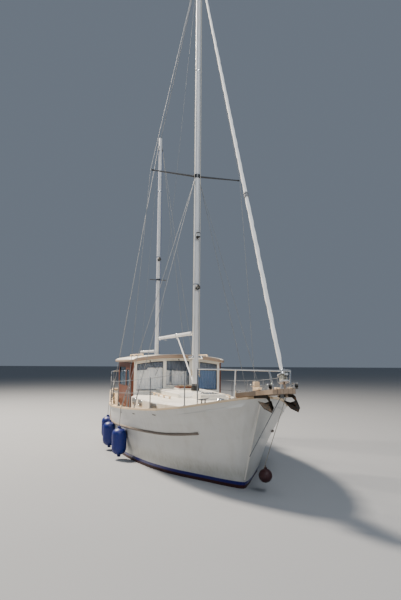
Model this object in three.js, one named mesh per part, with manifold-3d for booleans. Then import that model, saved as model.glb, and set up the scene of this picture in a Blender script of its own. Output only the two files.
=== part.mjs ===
// Ketch-rigged motorsailer, in millimetres. +X is forward, +Y is port and +Z is up.
// The origin is on the waterline, amidships on the centreline.

import * as THREE from "three";
import { mergeVertices } from "three/addons/utils/BufferGeometryUtils.js";
import Module from "manifold-3d";

const wasm = await Module();
wasm.setup();

// Driving dimensions
const DECK_LENGTH = 10400;
const BOW_X = 5200; // the stem head; places along the hull are given as distances aft of it
const GAP = 0.3; // between pieces that rest on each other
const KEEL_BOTTOM = -1500;

const BULWARK = 100; // height of the bulwark over the deck
const BULWARK_WIDTH = 60;
const DECK_CAMBER = 35;
const SKIN_STEPS = 9; // steps from the keel line up to the rail

const CAPRAIL = { out: 18, in: 78, thick: 35 };

const MAIN = { x: 1620, foot: 1462, head: 11840, r: 70 };
const MIZZEN = { x: -2400, foot: 940, head: 9170, r: 60 };
const MAIN_SPREADER = { z: 6450, half: 1100 };
const MIZZEN_CROSSTREE = { z: 4600, half: 260 };
const GOOSENECK = 130; // from a mast's centre back to the pin that its boom turns on
const MAIN_BOOM = { z: 2760, end: -2050, rise: 30, r: 45 };
const MIZZEN_BOOM = { z: 2420, end: -4900, rise: 20, r: 38 };
const VANG = { z: 1650, top: 60, r: 22 };
const PIN_R = 12;

const TACK = [6020, 0, 1700];
const FORESTAY_HEAD = [1715, 0, 11790];

const HOUSE = { front: 100, aft: -2150, half: 1160, wall: 40, top: 2085, base: 860 };
const ROOF = { front: 190, aft: -2270, half: 1250, thick: 90, crown: 120 };
const SOLE_Z = 400;
const DOOR = { front: -40, width: 640, z0: 1010, z1: 2010, thick: 30, travel: 640 };
const SIDE_WINDOW = { front: -820, aft: -1980, z0: 1460, z1: 1960 };

const COACHROOF = { crown: 50, base: 840 };
const AFT_TRUNK = { front: -2780, aft: -4350, edge: 1280, crown: 85 };

const RUDDER_X = -2930;
const STOCK_R = 30;
const RUDDER_BOTTOM = -1400;
const SHAFT_Z = -770;
const PROPELLER_X = -2450;
const PROPELLER_R = 200;

const RAIL_HEIGHT = 600; // lifelines and rails, over the caprail

// Hull sections. Columns: distance aft of the stem head along the rail, half breadth at the rail,
// height of the rail, half breadth at the flare (62% of the rail's height), half breadth at the
// boot top, height of the keel line.
const BOOT_Z = 120;
const FLARE_SHARE = 0.62;
const SECTIONS = [
  [0, 70, 1540, 45, 25, -60],
  [70, 255, 1520, 140, 70, -110],
  [250, 480, 1475, 290, 155, -230],
  [600, 740, 1395, 495, 295, -370],
  [1100, 1030, 1300, 765, 485, -500],
  [1800, 1270, 1212, 1045, 800, -600],
  [2800, 1480, 1140, 1320, 1180, -680],
  [4000, 1600, 1065, 1510, 1440, -720],
  [5400, 1630, 1010, 1570, 1530, -690],
  [7000, 1430, 990, 1390, 1330, -540],
  [8600, 1220, 1035, 1160, 1040, -330],
  [9600, 1085, 1085, 1010, 800, -170],
  [10400, 960, 1140, 870, 560, -40],
];

// The stem's profile. Columns: height, distance aft of the stem head.
const STEM = [
  [-700, 1500],
  [-230, 1000],
  [-60, 800],
  [120, 740],
  [550, 630],
  [1090, 280],
  [1540, 0],
];
const STEM_REACH = 3000; // the stem's rake fades out over this length
const TRANSOM_RAKE = 0.2;
const TRANSOM_REACH = 2000;

// Solids

function toSolid(geometry) {
  const bare = geometry.clone();
  bare.deleteAttribute("normal");
  bare.deleteAttribute("uv");
  const merged = mergeVertices(bare, 0.01);
  return new wasm.Manifold(
    new wasm.Mesh({
      numProp: 3,
      vertProperties: new Float32Array(merged.attributes.position.array),
      triVerts: new Uint32Array(merged.index.array),
    }),
  );
}

function toGeometry(solid) {
  const mesh = solid.getMesh();
  const geometry = new THREE.BufferGeometry();
  geometry.setAttribute("position", new THREE.BufferAttribute(mesh.vertProperties, 3));
  geometry.setIndex(new THREE.BufferAttribute(mesh.triVerts, 1));
  geometry.computeVertexNormals();
  return geometry;
}

const join = (...pieces) => toGeometry(pieces.map(toSolid).reduce((a, b) => a.add(b)));

const cut = (piece, ...tools) =>
  toGeometry(tools.map(toSolid).reduce((a, b) => a.subtract(b), toSolid(piece)));

// A piece cut to sit on another with the usual gap, which opens along the given direction.
function seat(piece, carrier, direction) {
  const raised = carrier.clone().translate(...direction.map((d) => d * GAP));
  return cut(piece, raised, carrier);
}

function box(x0, x1, y0, y1, z0, z1) {
  const shape = new THREE.BoxGeometry(x1 - x0, y1 - y0, z1 - z0);
  return shape.translate((x0 + x1) / 2, (y0 + y1) / 2, (z0 + z1) / 2);
}

// A round bar from a to b, which may taper to a second radius.
function rod(a, b, r, r2 = r, sides = 10) {
  const from = new THREE.Vector3(...a);
  const along = new THREE.Vector3(...b).sub(from);
  const bar = new THREE.CylinderGeometry(r2, r, along.length(), sides);
  bar.translate(0, along.length() / 2, 0);
  const up = new THREE.Vector3(0, 1, 0);
  bar.applyQuaternion(new THREE.Quaternion().setFromUnitVectors(up, along.clone().normalize()));
  return bar.translate(...a);
}

// A round tube along a smooth line through points.
function tube(points, r, steps, sides = 8) {
  const line = new THREE.CatmullRomCurve3(points.map((p) => new THREE.Vector3(...p)), false, "centripetal");
  const section = new THREE.Shape().absarc(0, 0, r, 0, Math.PI * 2);
  return new THREE.ExtrudeGeometry(section, { steps, curveSegments: sides / 2, extrudePath: line });
}

// A plate whose outline is drawn in X and Z, centred on y.
function sidePlate(outline, thick, bevel = 0, y = 0) {
  const shape = new THREE.Shape(outline.map(([x, z]) => new THREE.Vector2(x, z)));
  const plate = new THREE.ExtrudeGeometry(shape, {
    depth: thick - 2 * bevel,
    bevelEnabled: bevel > 0,
    bevelThickness: bevel,
    bevelSize: bevel,
    bevelOffset: -bevel,
    bevelSegments: 1,
  });
  return plate.translate(0, 0, -(thick / 2 - bevel)).rotateX(Math.PI / 2).translate(0, y, 0);
}

// A plate whose outline is drawn in X and Y, between two heights.
function deckPlate(outline, z0, z1, holes = []) {
  const points = (list) => list.map(([x, y]) => new THREE.Vector2(x, y));
  const shape = new THREE.Shape(points(outline));
  shape.holes = holes.map((hole) => new THREE.Path(points(hole)));
  return new THREE.ExtrudeGeometry(shape, { depth: z1 - z0, bevelEnabled: false }).translate(0, 0, z0);
}

// A skin over rings of equal length: closed by end faces, or run back to its first ring.
function loft(rings, loop = false) {
  const size = rings[0].length;
  const faces = [];
  const last = loop ? rings.length : rings.length - 1;
  for (let i = 0; i < last; i += 1) {
    const here = i * size;
    const next = ((i + 1) % rings.length) * size;
    for (let j = 0; j < size; j += 1) {
      const k = (j + 1) % size;
      faces.push(here + j, here + k, next + k, here + j, next + k, next + j);
    }
  }
  if (!loop) {
    const flat = (ring) => ring.map(([, y, z]) => new THREE.Vector2(y, z));
    const end = (rings.length - 1) * size;
    for (const [a, b, c] of THREE.ShapeUtils.triangulateShape(flat(rings[0]), [])) faces.push(c, b, a);
    for (const [a, b, c] of THREE.ShapeUtils.triangulateShape(flat(rings.at(-1)), [])) {
      faces.push(end + a, end + b, end + c);
    }
  }
  const points = rings.flat();
  const volume = faces.reduce((sum, _, n) => {
    if (n % 3) return sum;
    const [a, b, c] = [0, 1, 2].map((k) => new THREE.Vector3(...points[faces[n + k]]));
    return sum + a.dot(b.cross(c));
  }, 0);
  const geometry = new THREE.BufferGeometry();
  geometry.setAttribute("position", new THREE.BufferAttribute(new Float32Array(points.flat()), 3));
  geometry.setIndex(volume > 0 ? faces : faces.reverse());
  return geometry;
}

// Hull lines

// The value of a column between two rows, or on the line beyond the first or last two.
function between(table, value, column) {
  const found = table.findIndex((row) => row[0] >= value);
  const after = found < 0 ? table.length - 1 : Math.max(1, found);
  const [low, high] = [table[after - 1], table[after]];
  return low[column] + ((high[column] - low[column]) * (value - low[0])) / (high[0] - low[0]);
}

const smoothSections = new THREE.CubicInterpolant(
  SECTIONS.map((row) => row[0]),
  SECTIONS.flatMap((row) => row.slice(1)),
  5,
);

// Every table section, with further ones between those that lie wide apart.
const SECTION_STEP = 500;
const stations = [];
SECTIONS.forEach(([aft], n) => {
  if (n > 0) {
    const before = SECTIONS[n - 1][0];
    const parts = Math.max(1, Math.round((aft - before) / SECTION_STEP));
    for (let k = 1; k < parts; k += 1) stations.push(before + ((aft - before) * k) / parts);
  }
  stations.push(aft);
});

function hullX(aft, z, topZ) {
  const bow = Math.max(0, 1 - aft / STEM_REACH) ** 2;
  const stern = Math.max(0, 1 - (DECK_LENGTH - aft) / TRANSOM_REACH) ** 2;
  return BOW_X - aft - between(STEM, z, 1) * bow + TRANSOM_RAKE * (topZ - z) * stern;
}

// One side of a section, from the keel line up to the rail.
function sideOf(aft) {
  const [rail, top, flare, boot, bottom] = smoothSections.evaluate(aft);
  const full = Math.min(1, aft / 3500);
  const levels = [
    [Math.min(70, boot * 0.4), bottom],
    [boot * (0.42 + 0.24 * full), bottom * 0.84],
    [boot * (0.76 + 0.16 * full), bottom * 0.42],
    [boot, BOOT_Z],
    [flare, top * FLARE_SHARE],
    [rail, top],
  ];
  const line = new THREE.CatmullRomCurve3(
    levels.map(([y, z]) => new THREE.Vector3(hullX(aft, z, top), y, z)),
    false,
    "centripetal",
  );
  return line.getPoints(SKIN_STEPS).map((p) => [p.x, p.y, p.z]);
}

// The rail's line: [aft, half breadth, height] at each station.
const RAIL = stations.map((aft) => {
  const [x, half, z] = sideOf(aft).at(-1);
  return [BOW_X - x, half, z];
});
const railHalf = (x) => between(RAIL, BOW_X - x, 1);
const railZ = (x) => between(RAIL, BOW_X - x, 2);
const deckZ = (x) => railZ(x) - BULWARK;

function hullRing(aft) {
  const side = sideOf(aft);
  const [x, half, top] = side.at(-1);
  const closedEnd = aft < 120 || aft > DECK_LENGTH - 60;
  const deck = top - (closedEnd ? 1 : BULWARK);
  const inner = Math.max(half * 0.15, half - BULWARK_WIDTH);
  const port = [...side, [x, inner, top], [x, inner, deck]];
  const mirror = port.map(([px, py, pz]) => [px, -py, pz]);
  return [...port, [x, 0, deck + (closedEnd ? 0.5 : DECK_CAMBER)], ...mirror.reverse()];
}

function hullBlank() {
  const ends = [120, DECK_LENGTH - 60];
  const cuts = [...stations, ...ends].sort((a, b) => a - b);
  return loft(cuts.map(hullRing));
}

const WELL_SIDE = HOUSE.half - 80;
const STEP = { front: -1890, z: 680 };
const wells = [
  box(STEP.front, HOUSE.front - HOUSE.wall - 10, -WELL_SIDE, WELL_SIDE, SOLE_Z, 3000),
  box(HOUSE.aft, STEP.front + 10, -WELL_SIDE, WELL_SIDE, STEP.z, 3000),
];
const stockHole = rod([RUDDER_X, 0, -1000], [RUDDER_X, 0, 100], STOCK_R + 1, STOCK_R + 1, 16);
const hull = cut(hullBlank(), ...wells, stockHole);
const DOWN = [0, 0, -1];
const UP = [0, 0, 1];

function keel() {
  const outline = [
    [3300, -300],
    [2900, -850],
    [2300, -1250],
    [1600, -1420],
    [-2600, KEEL_BOTTOM],
    [-2780, -1440],
    [-2480, -1250],
    [-2320, -960],
    [-2320, -200],
  ];
  const heel = box(-3010, -2400, -40, 40, KEEL_BOTTOM, -1440);
  const boss = rod([-2250, 0, SHAFT_Z], [-2380, 0, SHAFT_Z], 48, 40, 14);
  const bore = rod([-2200, 0, SHAFT_Z], [-2400, 0, SHAFT_Z], 17, 17, 14);
  return seat(cut(join(sidePlate(outline, 220, 40), heel, boss), bore), hull, DOWN);
}

// The caprail: its own line is the rail's line, with corners square to it in plan.
function caprail() {
  const port = RAIL.map(([aft, half]) => [BOW_X - aft, half]);
  const plan = [...port, ...port.map(([x, y]) => [x, -y]).reverse()];
  const rings = plan.map(([x, y], n) => {
    const [x0, y0] = plan.at(n - 1);
    const [x1, y1] = plan[(n + 1) % plan.length];
    const length = Math.hypot(x1 - x0, y1 - y0);
    const [nx, ny] = [-(y1 - y0) / length, (x1 - x0) / length];
    const corner = (out, up) => {
      const cx = x - nx * out;
      return [cx, y - ny * out, railZ(cx) + up];
    };
    const { out, in: inward, thick } = CAPRAIL;
    return [corner(out, 2 * GAP), corner(out, thick), corner(-inward, thick), corner(-inward, 2 * GAP)];
  });
  return loft(rings, true);
}

// A half-round strake along one side, over the flare.
// Columns: distance aft of the stem head, how far the strake runs under the rail.
const STRAKE_DROP = [
  [900, 455],
  [3500, 390],
  [9700, 350],
];
const STRAKE_R = 26;
function strakeTube(side, r) {
  const steps = 16;
  const [from, to] = [STRAKE_DROP[0][0], STRAKE_DROP.at(-1)[0]];
  const points = Array.from({ length: steps + 1 }, (_, n) => {
    const aft = from + ((to - from) * n) / steps;
    const line = sideOf(aft);
    const z = line.at(-1)[2] - between(STRAKE_DROP, aft, 1);
    const above = line.findIndex((p) => p[2] > z);
    const [a, b] = [line[above - 1], line[above]];
    const share = (z - a[2]) / (b[2] - a[2]);
    return [a[0] + (b[0] - a[0]) * share, side * (a[1] + (b[1] - a[1]) * share + 4), z];
  });
  return tube(points, r, 48);
}
const rubStrake = (side) => seat(strakeTube(side, STRAKE_R), hull, [0, side, 0]);

const caprailBody = caprail();

// Foredeck

// Furling headsail, in the forestay's own frame: the tack is its origin and the stay lies along +Z.
const stayLine = new THREE.Vector3(...FORESTAY_HEAD).sub(new THREE.Vector3(...TACK));
const STAY_LENGTH = stayLine.length();
const DRUM = { z: 130, height: 120, r: 78 };
// A fixed length of the stay, between two heights along it.
function stayRod(from, to, r) {
  const at = (z) => new THREE.Vector3(...TACK).addScaledVector(stayLine, z / STAY_LENGTH).toArray();
  return rod(at(from), at(to), r, r, 12);
}
// The platform rises forward. Its own frame has its underside at z = 0 over the stem head.
const PLATFORM = { end: 900, start: -640, z: 1580, thick: 66, slope: 0.1 };
const platformZ = (x, up) =>
  PLATFORM.z + (x - BOW_X) * Math.tan(PLATFORM.slope) + up / Math.cos(PLATFORM.slope);
function platform() {
  const plank = deckPlate(
    [
      [PLATFORM.start, -210],
      [200, -210],
      [PLATFORM.end - 120, -180],
      [PLATFORM.end, -110],
      [PLATFORM.end, 110],
      [PLATFORM.end - 120, 180],
      [200, 210],
      [PLATFORM.start, 210],
    ],
    0,
    PLATFORM.thick,
  );
  plank.rotateY(-PLATFORM.slope).translate(BOW_X, 0, PLATFORM.z);
  const low = platformZ(BOW_X + PLATFORM.start, 0);
  const chock = box(BOW_X + PLATFORM.start + 10, BOW_X + PLATFORM.start + 160, -180, 180, 1200, low + 20);
  const stemChock = box(5135, 5195, -50, 50, 1548, PLATFORM.z + 10);
  const tack = stayRod(-90, DRUM.z - GAP, 16);
  return seat(seat(join(plank, chock, stemChock, tack), hull, UP), caprailBody, UP);
}
const platformBody = platform();

function bobstay() {
  const topX = BOW_X + PLATFORM.end - 200;
  const under = platformZ(topX, 0);
  const top = [topX, 0, under - 10];
  const foot = [BOW_X - between(STEM, 430, 1) + 14, 0, 430];
  const lug = box(topX - 40, topX + 40, -10, 10, under - 60, under + 20);
  const stay = join(rod(foot, top, 7, 7, 8), lug, box(foot[0] - 40, foot[0] + 8, -9, 9, 395, 465));
  return seat(seat(stay, platformBody, DOWN), hull, [1, 0, 0]);
}

// A plough anchor under the platform: its shank along X from the roller, its blades hanging down.
function anchor() {
  const shank = sidePlate(
    [
      [-170, -20],
      [330, -20],
      [430, -150],
      [380, -180],
      [290, -80],
      [-170, -60],
    ],
    26,
  );
  const flukes = deckPlate(
    [
      [260, 0],
      [60, 60],
      [-120, 130],
      [-150, 0],
      [-120, -130],
      [60, -60],
    ],
    -9,
    9,
  );
  flukes.rotateY(0.75).translate(300, 0, -165);
  return join(shank, flukes).rotateY(-PLATFORM.slope);
}

const PULPIT = { z: 1985, r: 12 };
function pulpit() {
  const { z: top, r } = PULPIT;
  const aftX = BOW_X - 800;
  const half = railHalf(aftX) - 15;
  const tip = BOW_X + PLATFORM.end - 40;
  const rail = tube(
    [
      [aftX, -half, top],
      [5150, -420, top],
      [tip - 220, -170, top],
      [tip, 0, top],
      [tip - 220, 170, top],
      [5150, 420, top],
      [aftX, half, top],
    ],
    r,
    36,
  );
  const capZ = (x) => railZ(x) + CAPRAIL.thick - 6;
  const deckX = BOW_X + PLATFORM.end - 200;
  const legs = [1, -1].flatMap((side) => [
    rod([aftX, side * half, capZ(aftX)], [aftX, side * half, top], r),
    rod([5000, side * 380, capZ(5000)], [5150, side * 420, top], r),
    rod([deckX, side * 130, platformZ(deckX, PLATFORM.thick - 8)], [tip - 220, side * 170, top], r),
  ]);
  return seat(seat(join(rail, ...legs), platformBody, UP), caprailBody, UP);
}

function windlass() {
  const x = 4330;
  const z = deckZ(x);
  const body = join(
    box(x - 170, x + 130, -110, 110, z - 20, z + 70),
    rod([x, -105, z + 150], [x, 105, z + 150], 95, 95, 20),
    rod([x, -230, z + 150], [x, 230, z + 150], 55, 55, 16),
    box(x - 80, x + 80, -60, 60, z + 40, z + 150),
  );
  return seat(body, hull, UP);
}

// Cabin tops

const HOUSE_END = BOW_X - HOUSE.front - GAP;
// Columns: distance aft of the stem head, half breadth, height of the edge.
const COACHROOF_SECTIONS = [
  [1700, 330, 1300],
  [1790, 560, 1300],
  [2050, 780, 1298],
  [2700, 960, 1292],
  [3600, 1100, 1285],
  [HOUSE_END, 1170, 1280],
];
// The raised middle under the mast, with the same columns.
const MAST_DECK = [
  [3150, 400, 1360],
  [3260, 470, 1430],
  [3800, 530, 1435],
  [HOUSE_END, 560, 1435],
];
const FORE_HATCH = { x: 2620, size: 500, z: 1412, thick: 45 };
const SKYLIGHT = { x: 880, size: 420, z: 1485, thick: 40 };
const AFT_HATCH = { x: -3150, size: 560, z: 1400, thick: 45 };

function cabinTop(sections, crownRise, base, shoulder = 40) {
  const ring = ([aft, half, edge]) => {
    const x = BOW_X - aft;
    const arch = [1, 0.94, 0.75, 0.4, 0, -0.4, -0.75, -0.94, -1].map((share) => {
      const rise = crownRise * (1 - share ** 2) * Math.min(1, half / 800);
      return [x, share * half, edge + rise - (Math.abs(share) === 1 ? shoulder : 0)];
    });
    return [...arch, [x, -half, base], [x, half, base]];
  };
  return loft(sections.map(ring));
}

const coaming = ({ x, size, z }, depth) =>
  box(x - size / 2 - 25, x + size / 2 + 25, -size / 2 - 25, size / 2 + 25, z - depth, z - GAP);

function coachroof() {
  const top = cabinTop(COACHROOF_SECTIONS, COACHROOF.crown, COACHROOF.base);
  const middle = cabinTop(MAST_DECK, COACHROOF.crown / 2, COACHROOF.base, 20);
  const step = box(MAIN.x - 110, MAIN.x + 110, -110, 110, 1380, MAIN.foot - GAP);
  return seat(join(top, middle, coaming(FORE_HATCH, 120), coaming(SKYLIGHT, 100), step), hull, UP);
}

function aftTrunk() {
  const sections = [
    [BOW_X - AFT_TRUNK.front, 840, AFT_TRUNK.edge],
    [BOW_X - (AFT_TRUNK.front + AFT_TRUNK.aft) / 2, 800, AFT_TRUNK.edge],
    [BOW_X - AFT_TRUNK.aft - 250, 700, AFT_TRUNK.edge],
    [BOW_X - AFT_TRUNK.aft, 560, AFT_TRUNK.edge],
  ];
  const top = cabinTop(sections, AFT_TRUNK.crown, COACHROOF.base);
  return seat(join(top, coaming(AFT_HATCH, 110)), hull, UP);
}

// A hatch lid in its own frame: the hinge line is its origin, and the lid lies along -X from it.
function hatchLid({ size, thick }) {
  const lid = box(-size - 10, -10, -size / 2 - 15, size / 2 + 15, 0, thick);
  const knuckles = [1, -1].map((side) =>
    rod([0, side * size * 0.36 - 40, 12], [0, side * size * 0.36 + 40, 12], 10, 10, 12),
  );
  const leaves = [1, -1].map((side) => box(-30, 0, side * size * 0.36 - 40, side * size * 0.36 + 40, 4, 20));
  return join(lid, ...knuckles, ...leaves);
}

// Wheelhouse

// The roof's underside is arched between the side walls, and the front wall's top follows it.
const ARCH = { half: 1115, rise: 100 };
const archZ = (y) => HOUSE.top + ARCH.rise * Math.max(0, 1 - (y / ARCH.half) ** 2);

// A plate whose outline is drawn in Y and Z, between two places along X.
const crossPlate = (outline, x0, x1) =>
  sidePlate(outline, x1 - x0)
    .rotateZ(Math.PI / 2)
    .translate((x0 + x1) / 2, 0, 0);

// Front panes. Columns: two sides and the bottom's height.
const FRONT_PANES = [
  [-1060, -370, 1380],
  [-310, 310, 1510],
  [370, 1060, 1380],
];
const PANE_HEAD = 45; // from a pane's top edge up to the roof

function paneOutline([y0, y1, z0], inset) {
  const head = [0, 0.25, 0.5, 0.75, 1].map((share) => {
    const y = y1 - inset - share * (y1 - y0 - 2 * inset);
    return [y, archZ(y) - PANE_HEAD - inset];
  });
  return [[y0 + inset, z0 + inset], [y1 - inset, z0 + inset], ...head];
}

function houseFront() {
  const inner = HOUSE.half - HOUSE.wall - GAP;
  const head = [1, 0.75, 0.4, 0, -0.4, -0.75, -1].map((share) => share * ARCH.half);
  const outline = [
    [-inner, HOUSE.base],
    [inner, HOUSE.base],
    [inner, HOUSE.top],
    ...head.map((y) => [y, archZ(y)]),
    [-inner, HOUSE.top],
  ];
  const wall = crossPlate(outline, HOUSE.front - HOUSE.wall, HOUSE.front);
  const reach = [HOUSE.front - 100, HOUSE.front + 60];
  const holes = FRONT_PANES.map((pane) => crossPlate(paneOutline(pane, 0), ...reach));
  return seat(cut(wall, ...holes), hull, UP);
}

function houseSide(side) {
  const inner = side * (HOUSE.half - HOUSE.wall);
  const outer = side * HOUSE.half;
  const span = (a, b) => [Math.min(a, b), Math.max(a, b)];
  const wall = box(HOUSE.aft, HOUSE.front, ...span(inner, outer), HOUSE.base, HOUSE.top);
  const through = span(inner - side * 50, outer + side * 50);
  const doorway = box(DOOR.front - DOOR.width, DOOR.front, ...through, DOOR.z0, DOOR.z1);
  const { front, aft, z0, z1 } = SIDE_WINDOW;
  const pane = box(aft, front, ...through, z0, z1);
  const track = (z) =>
    box(
      DOOR.front - DOOR.width - DOOR.travel - 60,
      DOOR.front + 40,
      ...span(outer - side, outer + side * (DOOR.thick + 12)),
      z - 14,
      z + 14,
    );
  const tracks = [track(DOOR.z0 - 45), track(DOOR.z1 + 45)];
  return seat(cut(join(wall, ...tracks), doorway, pane), hull, UP);
}

const PANE_THICK = 8;
function frontGlass(pane) {
  const x = HOUSE.front - HOUSE.wall / 2;
  return crossPlate(paneOutline(pane, GAP), x - PANE_THICK / 2, x + PANE_THICK / 2);
}

function sideGlass(side) {
  const { front, aft, z0, z1 } = SIDE_WINDOW;
  const y = side * (HOUSE.half - HOUSE.wall / 2);
  return box(aft + GAP, front - GAP, y - PANE_THICK / 2, y + PANE_THICK / 2, z0 + GAP, z1 - GAP);
}

function houseRoof() {
  const z = HOUSE.top + GAP;
  const section = (x, inset) => {
    const half = ROOF.half - inset;
    const arch = [1, 0.95, 0.75, 0.4, 0, -0.4, -0.75, -0.95, -1].map((share) => {
      const edge = Math.abs(share) === 1 ? -22 : 0;
      return [x, share * half, z + ROOF.thick + ROOF.crown * (1 - share ** 2) + edge];
    });
    const under = [-1, -0.75, -0.4, 0, 0.4, 0.75, 1].map((share) => {
      const y = share * ARCH.half;
      return [x, y, archZ(y) + GAP];
    });
    return [...arch, [x, -half, z], ...under, [x, half, z]];
  };
  return loft([
    section(ROOF.aft, 60),
    section(ROOF.aft + 90, 0),
    section(ROOF.front - 120, 0),
    section(ROOF.front, 90),
  ]);
}

// A sliding door, with its window cut.
function door(side) {
  const overlap = 28;
  const y0 = side * (HOUSE.half + 3);
  const y1 = side * (HOUSE.half + 3 + DOOR.thick);
  const [low, high] = [Math.min(y0, y1), Math.max(y0, y1)];
  const ends = [DOOR.front - DOOR.width - overlap, DOOR.front + overlap];
  const panel = box(...ends, low, high, DOOR.z0 - 31 + GAP, DOOR.z1 + 29);
  const light = box(DOOR.front - DOOR.width + 110, DOOR.front - 110, low - 20, high + 20, 1480, 1900);
  const handle = rod(
    [DOOR.front - 50, side * (HOUSE.half + DOOR.thick + 2), 1390],
    [DOOR.front - 50, side * (HOUSE.half + DOOR.thick + 24), 1390],
    12,
  );
  return join(cut(panel, light), handle);
}

const HELM = { x: -330, y: -480, z: 1270, r: 230 };
function console_() {
  const outline = [
    [-30, SOLE_Z + GAP],
    [-30, 1330],
    [-230, 1330],
    [-300, 1180],
    [-300, SOLE_Z + GAP],
  ];
  const shelf = box(-30, 40, -1070, 1070, 1250, 1290);
  const bore = rod([HELM.x - 100, HELM.y, HELM.z], [-200, HELM.y, HELM.z], 16.5, 16.5, 14);
  const cabinet = sidePlate(outline, 900, 0, HELM.y);
  const boss = rod([-318, HELM.y, HELM.z], [-220, HELM.y, HELM.z], 40, 40, 14);
  return seat(cut(join(cabinet, shelf, boss), bore), hull, UP);
}

// The wheel in its own frame: its axle lies along X, with the rim's plane at the origin.
function steeringWheel() {
  const rim = new THREE.TorusGeometry(HELM.r, 14, 8, 28).rotateY(Math.PI / 2);
  const spokes = [0, 1, 2, 3, 4, 5].map((n) => {
    const angle = (n * Math.PI) / 3;
    return rod([0, 0, 0], [0, Math.cos(angle) * HELM.r, Math.sin(angle) * HELM.r], 9, 9, 6);
  });
  const hub = rod([-30, 0, 0], [8, 0, 0], 38, 38, 14);
  const axle = rod([0, 0, 0], [90, 0, 0], 16, 16, 14);
  return join(rim, hub, axle, ...spokes);
}

function helmSeat() {
  const post = rod([-1000, HELM.y, SOLE_Z + GAP], [-1000, HELM.y, 960], 60, 60, 14);
  const base = rod([-1000, HELM.y, SOLE_Z + GAP], [-1000, HELM.y, SOLE_Z + 30], 190, 190, 18);
  const pad = box(-1230, -790, HELM.y - 230, HELM.y + 230, 940, 1050);
  const back = box(-1260, -1190, HELM.y - 230, HELM.y + 230, 1040, 1500);
  return join(post, base, pad, back);
}

function settee() {
  const seatBox = box(-1880, -620, 380, 1070, SOLE_Z + GAP, 850);
  return join(seatBox, box(-1880, -620, 960, 1070, 840, 1180));
}

// Spars. A mast stands at its own origin, its foot at z = 0.

function mast({ foot, head, r }, crane) {
  const pole = rod([0, 0, 0], [0, 0, head - foot - crane], r, r * 0.85, 20);
  return join(pole, rod([0, 0, 0], [0, 0, 40], r + 8, r + 8, 20));
}

// The space that a mast's pole fills, with the usual gap.
const poleSpace = ({ x, foot, head, r }) => rod([x, 0, foot], [x, 0, head], r + GAP, r * 0.85 + GAP, 20);

// The crane on the main mast's head, which carries the forestay and the triatic stay.
const CRANE = { reach: 130, height: 120 };
function masthead() {
  const { reach, height } = CRANE;
  const z = MAIN.head - height + GAP;
  const crane = box(MAIN.x - reach, MAIN.x + reach, -24, 24, z, MAIN.head);
  return join(crane, stayRod(STAY_LENGTH - 300 + GAP, STAY_LENGTH, 12));
}

// A track on a mast's aft face, in the mast's frame, with a pin between lugs for each boom.
function gooseneck(mastAt, zs) {
  const r = mastRadius(mastAt, zs[0]);
  const heights = zs.map((z) => z - mastAt.foot);
  const track = box(-r - 14, -r + 30, -24, 24, Math.min(...heights) - 60, Math.max(...heights) + 60);
  const pieces = heights.flatMap((z) => [
    box(-GOOSENECK - 24, -r - 10, -24, 24, z + 22, z + 34),
    box(-GOOSENECK - 24, -r - 10, -24, 24, z - 34, z - 22),
    rod([-GOOSENECK, 0, z - 34], [-GOOSENECK, 0, z + 34], PIN_R, PIN_R, 14),
  ]);
  const height = mastAt.head - mastAt.foot;
  return cut(join(track, ...pieces), poleSpace({ ...mastAt, x: 0, foot: 0, head: height }));
}

// A boom in its own frame: it turns about the origin and runs aft along -X.
function boom(reach, rise, r) {
  const spar = rod([-70, 0, 0], [-reach, 0, rise], r, r * 0.9, 14);
  const neck = box(-80, -20, -14, 14, -18, 18);
  const eye = rod([0, 0, -20], [0, 0, 20], 24, 24, 16);
  const hole = rod([0, 0, -30], [0, 0, 30], PIN_R + 0.5, PIN_R + 0.5, 16);
  return cut(join(spar, neck, eye), hole);
}

function vang() {
  const pivotX = MAIN.x - GOOSENECK;
  const far = VANG.top - pivotX;
  const topZ = MAIN_BOOM.z + (MAIN_BOOM.rise * -far) / (pivotX - MAIN_BOOM.end) - MAIN_BOOM.r - 6 - VANG.z;
  const arm = rod([-60, 0, 24], [far, 0, topZ - 10], VANG.r, VANG.r * 0.8, 12);
  const neck = join(box(-90, -18, -12, 12, -18, 18), box(-90, -40, -12, 12, -18, 44));
  const eye = rod([0, 0, -20], [0, 0, 20], 24, 24, 16);
  const hole = rod([0, 0, -30], [0, 0, 30], PIN_R + 0.5, PIN_R + 0.5, 16);
  const top = box(far - 50, far + 40, -16, 16, topZ - 30, topZ + 5);
  return cut(join(arm, neck, eye, top), hole);
}

const mastRadius = ({ foot, head, r }, z) => r * (1 - (0.15 * (z - foot)) / (head - foot));

function spreaders() {
  const r = mastRadius(MAIN, MAIN_SPREADER.z);
  const collar = rod([0, 0, -40], [0, 0, 40], r + 16, r + 16, 20);
  const arms = [1, -1].map((side) =>
    rod([0, side * r, 0], [-40, side * (MAIN_SPREADER.half - 8), 45], 24, 15, 10),
  );
  const hole = rod([0, 0, -60], [0, 0, 60], r + GAP, r + GAP, 20);
  return cut(join(collar, ...arms), hole);
}

function crosstree() {
  const r = mastRadius(MIZZEN, MIZZEN_CROSSTREE.z);
  const collar = rod([0, 0, -25], [0, 0, 25], r + 12, r + 12, 20);
  const bar = rod([0, -MIZZEN_CROSSTREE.half, 0], [0, MIZZEN_CROSSTREE.half, 0], 14, 14, 10);
  const hole = rod([0, 0, -60], [0, 0, 60], r + GAP, r + GAP, 20);
  return cut(join(collar, bar), hole);
}

// Standing rigging

const WIRE_R = 6;
function foot(x, side) {
  const y = side * (railHalf(x) - 52);
  const z = railZ(x) + CAPRAIL.thick;
  return {
    plate: box(x - 45, x + 45, y - 18, y + 18, z - 10, z + 12),
    screw: (towards) => {
      const from = new THREE.Vector3(x, y, z);
      const to = from.clone().lerp(new THREE.Vector3(...towards), 0.07);
      return rod([x, y, z], [to.x, to.y, to.z], 13, 13, 8);
    },
    point: [x, y, z],
  };
}

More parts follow.
